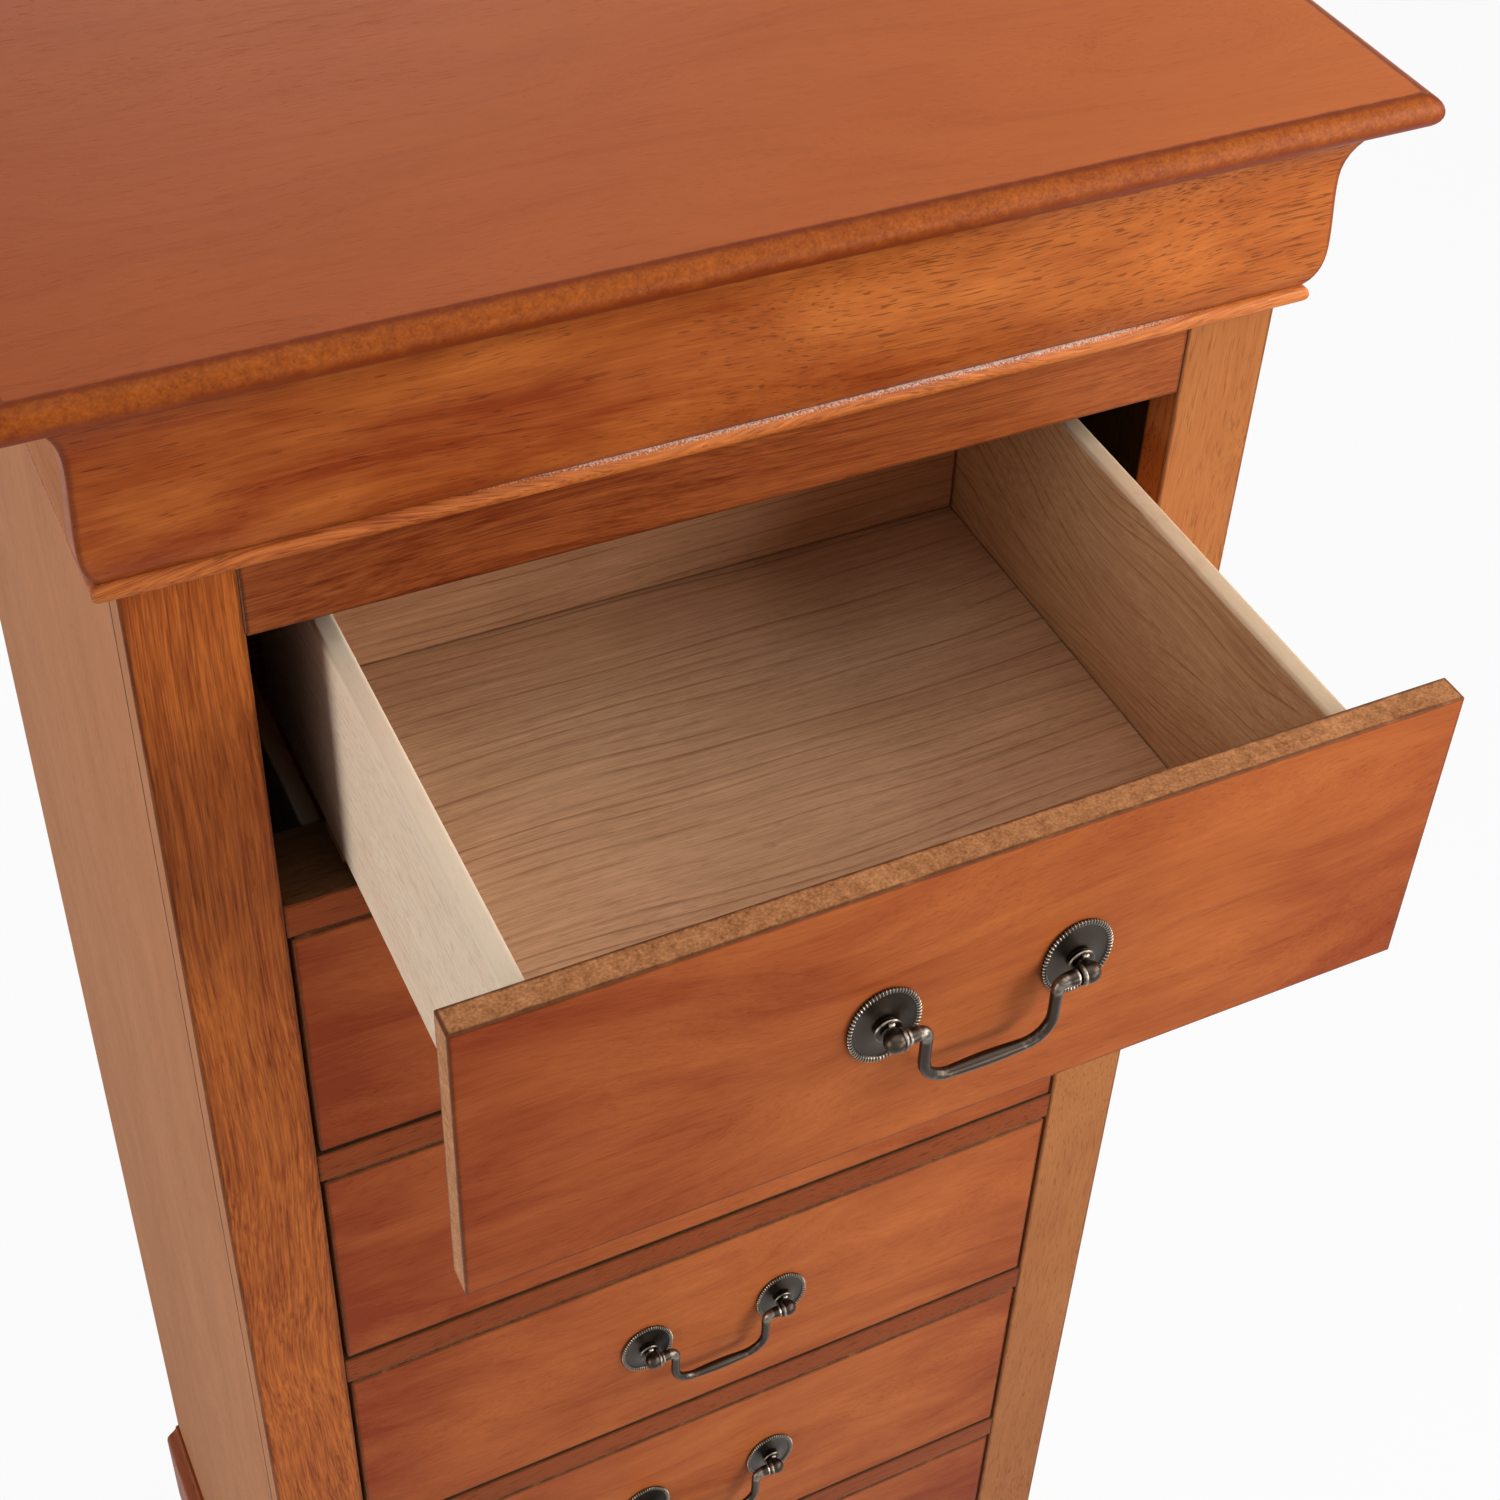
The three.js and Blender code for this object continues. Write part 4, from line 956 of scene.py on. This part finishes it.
def post(inward):
    """A plate with its stem, stud and ball eye. The eye's bore opens inward, towards the bail."""
    whole = bmesh.new()
    fit_into(whole, roped_plate(), Matrix())
    stem = turned(in_mm((0, 1.2, 0), (4.6, 1.2, 0), (4.5, 1.9, 0.2), (3.3, 2.5, 0), (2.9, 2.9, 0),
                        (4.4, 3.0, 0), (5.15, 3.3, 0.4), (5.4, 3.8, 0.6), (5.15, 4.3, 0.5),
                        (4.4, 4.6, 0.2), (3.0, 4.75, 0), (2.6, 5.2, 0), (2.6, 8.6, 0), (0, 8.6, 0)),
                  TURNED_SIDES)
    fit_into(whole, stem, Matrix())
    stud = turned(in_mm((0, 0, 0), (1.3, 0, 0), (1.3, 5.0, 0.5), (1.15, 5.6, 1), (0.7, 5.95, 1),
                        (0, 6, 0.8)), STUD_SIDES)
    fit_into(whole, stud, Matrix.Translation((0, -STUD_OUT, 0)) @ Matrix.Rotation(-math.pi / 2, 4, "X"))
    eye = turned(in_mm((0, -4.1, 0.4), (1.7, -3.9, 0.4), (3.0, -3.15, 0.3), (3.85, -1.9, 0.2),
                       (4.15, -0.2, 0.25), (4.1, 1.0, 0.1), (3.75, 1.9, 0), (3.7, 2.2, 0),
                       (4.05, 2.45, 0.5), (4.15, 2.9, 0.65), (4.0, 3.5, 0.5), (3.5, 4.1, 0.3),
                       (2.2, 4.1, 0), (2.2, -2.3, 0), (0, -2.3, 0)), TURNED_SIDES)
    turn = Matrix.Rotation(inward * math.pi / 2, 4, "Z")
    fit_into(whole, eye, Matrix.Translation((0, -PIVOT_OUT, 0)) @ turn)
    return whole


def bail_stations():
    """Half of the bail's centre line as (x, z, radius, wear), from the pin to mid grip."""
    elbow_x, elbow, corner, arm, drop = 29.1, 3.4, 11, 25.7, 27.5
    half = [(40, 0, 1.4, 0), (39.6, 0, 1.8, 0), (33.6, 0, 1.8, 0), (33.6, 0, 2.6, 0.5),
            (33.35, 0, 2.9, 1), (32.9, 0, 3.0, 0.9), (32.3, 0, 2.95, 0.3), (30.6, 0, 2.9, 0.2),
            (29.9, 0, 2.75, 0.3)]
    for degrees in (90, 108, 126, 144, 162, 180):
        angle = math.radians(degrees)
        radius = 2.65 - 0.35 * (degrees - 90) / 90
        half.append((elbow_x + elbow * math.cos(angle), elbow * (math.sin(angle) - 1), radius, 0.55))
    half += [(arm, -7, 2.25, 0.1), (arm, -12, 2.2, 0)]
    for degrees in (0, 15, 30, 45, 60, 75, 90):
        angle = math.radians(degrees)
        half.append((arm - corner + corner * math.cos(angle), corner - drop - corner * math.sin(angle),
                     2.25, 0.35 if degrees > 30 else 0.1))
    half += [(10.5, -drop, 2.4, 0.1), (5.5, -drop, 2.62, 0.1), (0, -drop, 2.7, 0.2)]
    return in_mm(*half)


def bail():
    """The swinging handle: rings of changing size along its centre line, joined and capped."""
    half = bail_stations()
    stations = half + [(-x, z, radius, wear) for x, z, radius, wear in half[-2::-1]]
    spots = [Vector((x, 0, z)) for x, z, _, _ in stations]
    bm = bmesh.new()
    worn = bm.verts.layers.float.new("arris")
    rings = []
    for index, (x, z, radius, wear) in enumerate(stations):
        here = spots[index]
        earlier = next((s for s in spots[index::-1] if (s - here).length > WELD), here)
        later = next((s for s in spots[index:] if (s - here).length > WELD), here)
        along = (later - earlier).normalized()
        side = Vector((0, 1, 0))
        turn = Matrix((side.cross(along), side, along)).transposed().to_4x4()
        ring = bmesh.ops.create_circle(bm, segments=BAIL_SIDES, radius=radius,
                                       matrix=Matrix.Translation((x, 0, z)) @ turn)["verts"]
        for vert in ring:
            vert[worn] = wear
        rings.append(list(dict.fromkeys(e for v in ring for e in v.link_edges)))
    for near, far in zip(rings, rings[1:]):
        bmesh.ops.bridge_loops(bm, edges=near + far)
    for end in (rings[0], rings[-1]):
        bmesh.ops.edgeloop_fill(bm, edges=end)
    return bm


dark_metal = metal("dark_metal", (0.052, 0.039, 0.030), (0.50, 0.43, 0.35), roughness=0.3, wear=0.85)
for drawer in range(1, DRAWER_COUNT + 1):
    body = f"drawer_{drawer}"
    low, high = (Vector(corner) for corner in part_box(f"{body}_front"))
    height = (low.z + high.z) / 2
    for hand, side in (("left", -1), ("right", 1)):
        made = post(-side)
        bmesh.ops.translate(made, vec=(side * PULL_HALF, low.y, height), verts=made.verts)
        piece(f"{body}_post_{hand}_cast", made, body, f"{body}_post_{hand}", "bronze", dark_metal)
    swing = bail()
    bmesh.ops.translate(swing, vec=(0, low.y - PIVOT_OUT, height), verts=swing.verts)
    piece(f"{body}_bail_bar", swing, f"bail_{drawer}", f"{body}_bail", "bronze", dark_metal)
    screws = bmesh.new()
    for side in (-1, 1):
        head = turned(in_mm((0, 0, 0), (5, 0, 0), (5.1, 0.4, 1), (4.9, 0.8, 0.8), (3.7, 0.9, 0),
                            (3.6, 1.6, 0.8), (2.9, 2.5, 0.6), (1.4, 3.0, 0.4), (0, 3.0, 0.3)),
                      SCREW_SIDES)
        place = Matrix.Translation((side * PULL_HALF, high.y, height))
        fit_into(screws, head, place @ Matrix.Rotation(math.pi, 4, "Z"))
    piece(f"{body}_pull_screws", screws, body, f"{body}_post_left", "bronze", nail_steel)
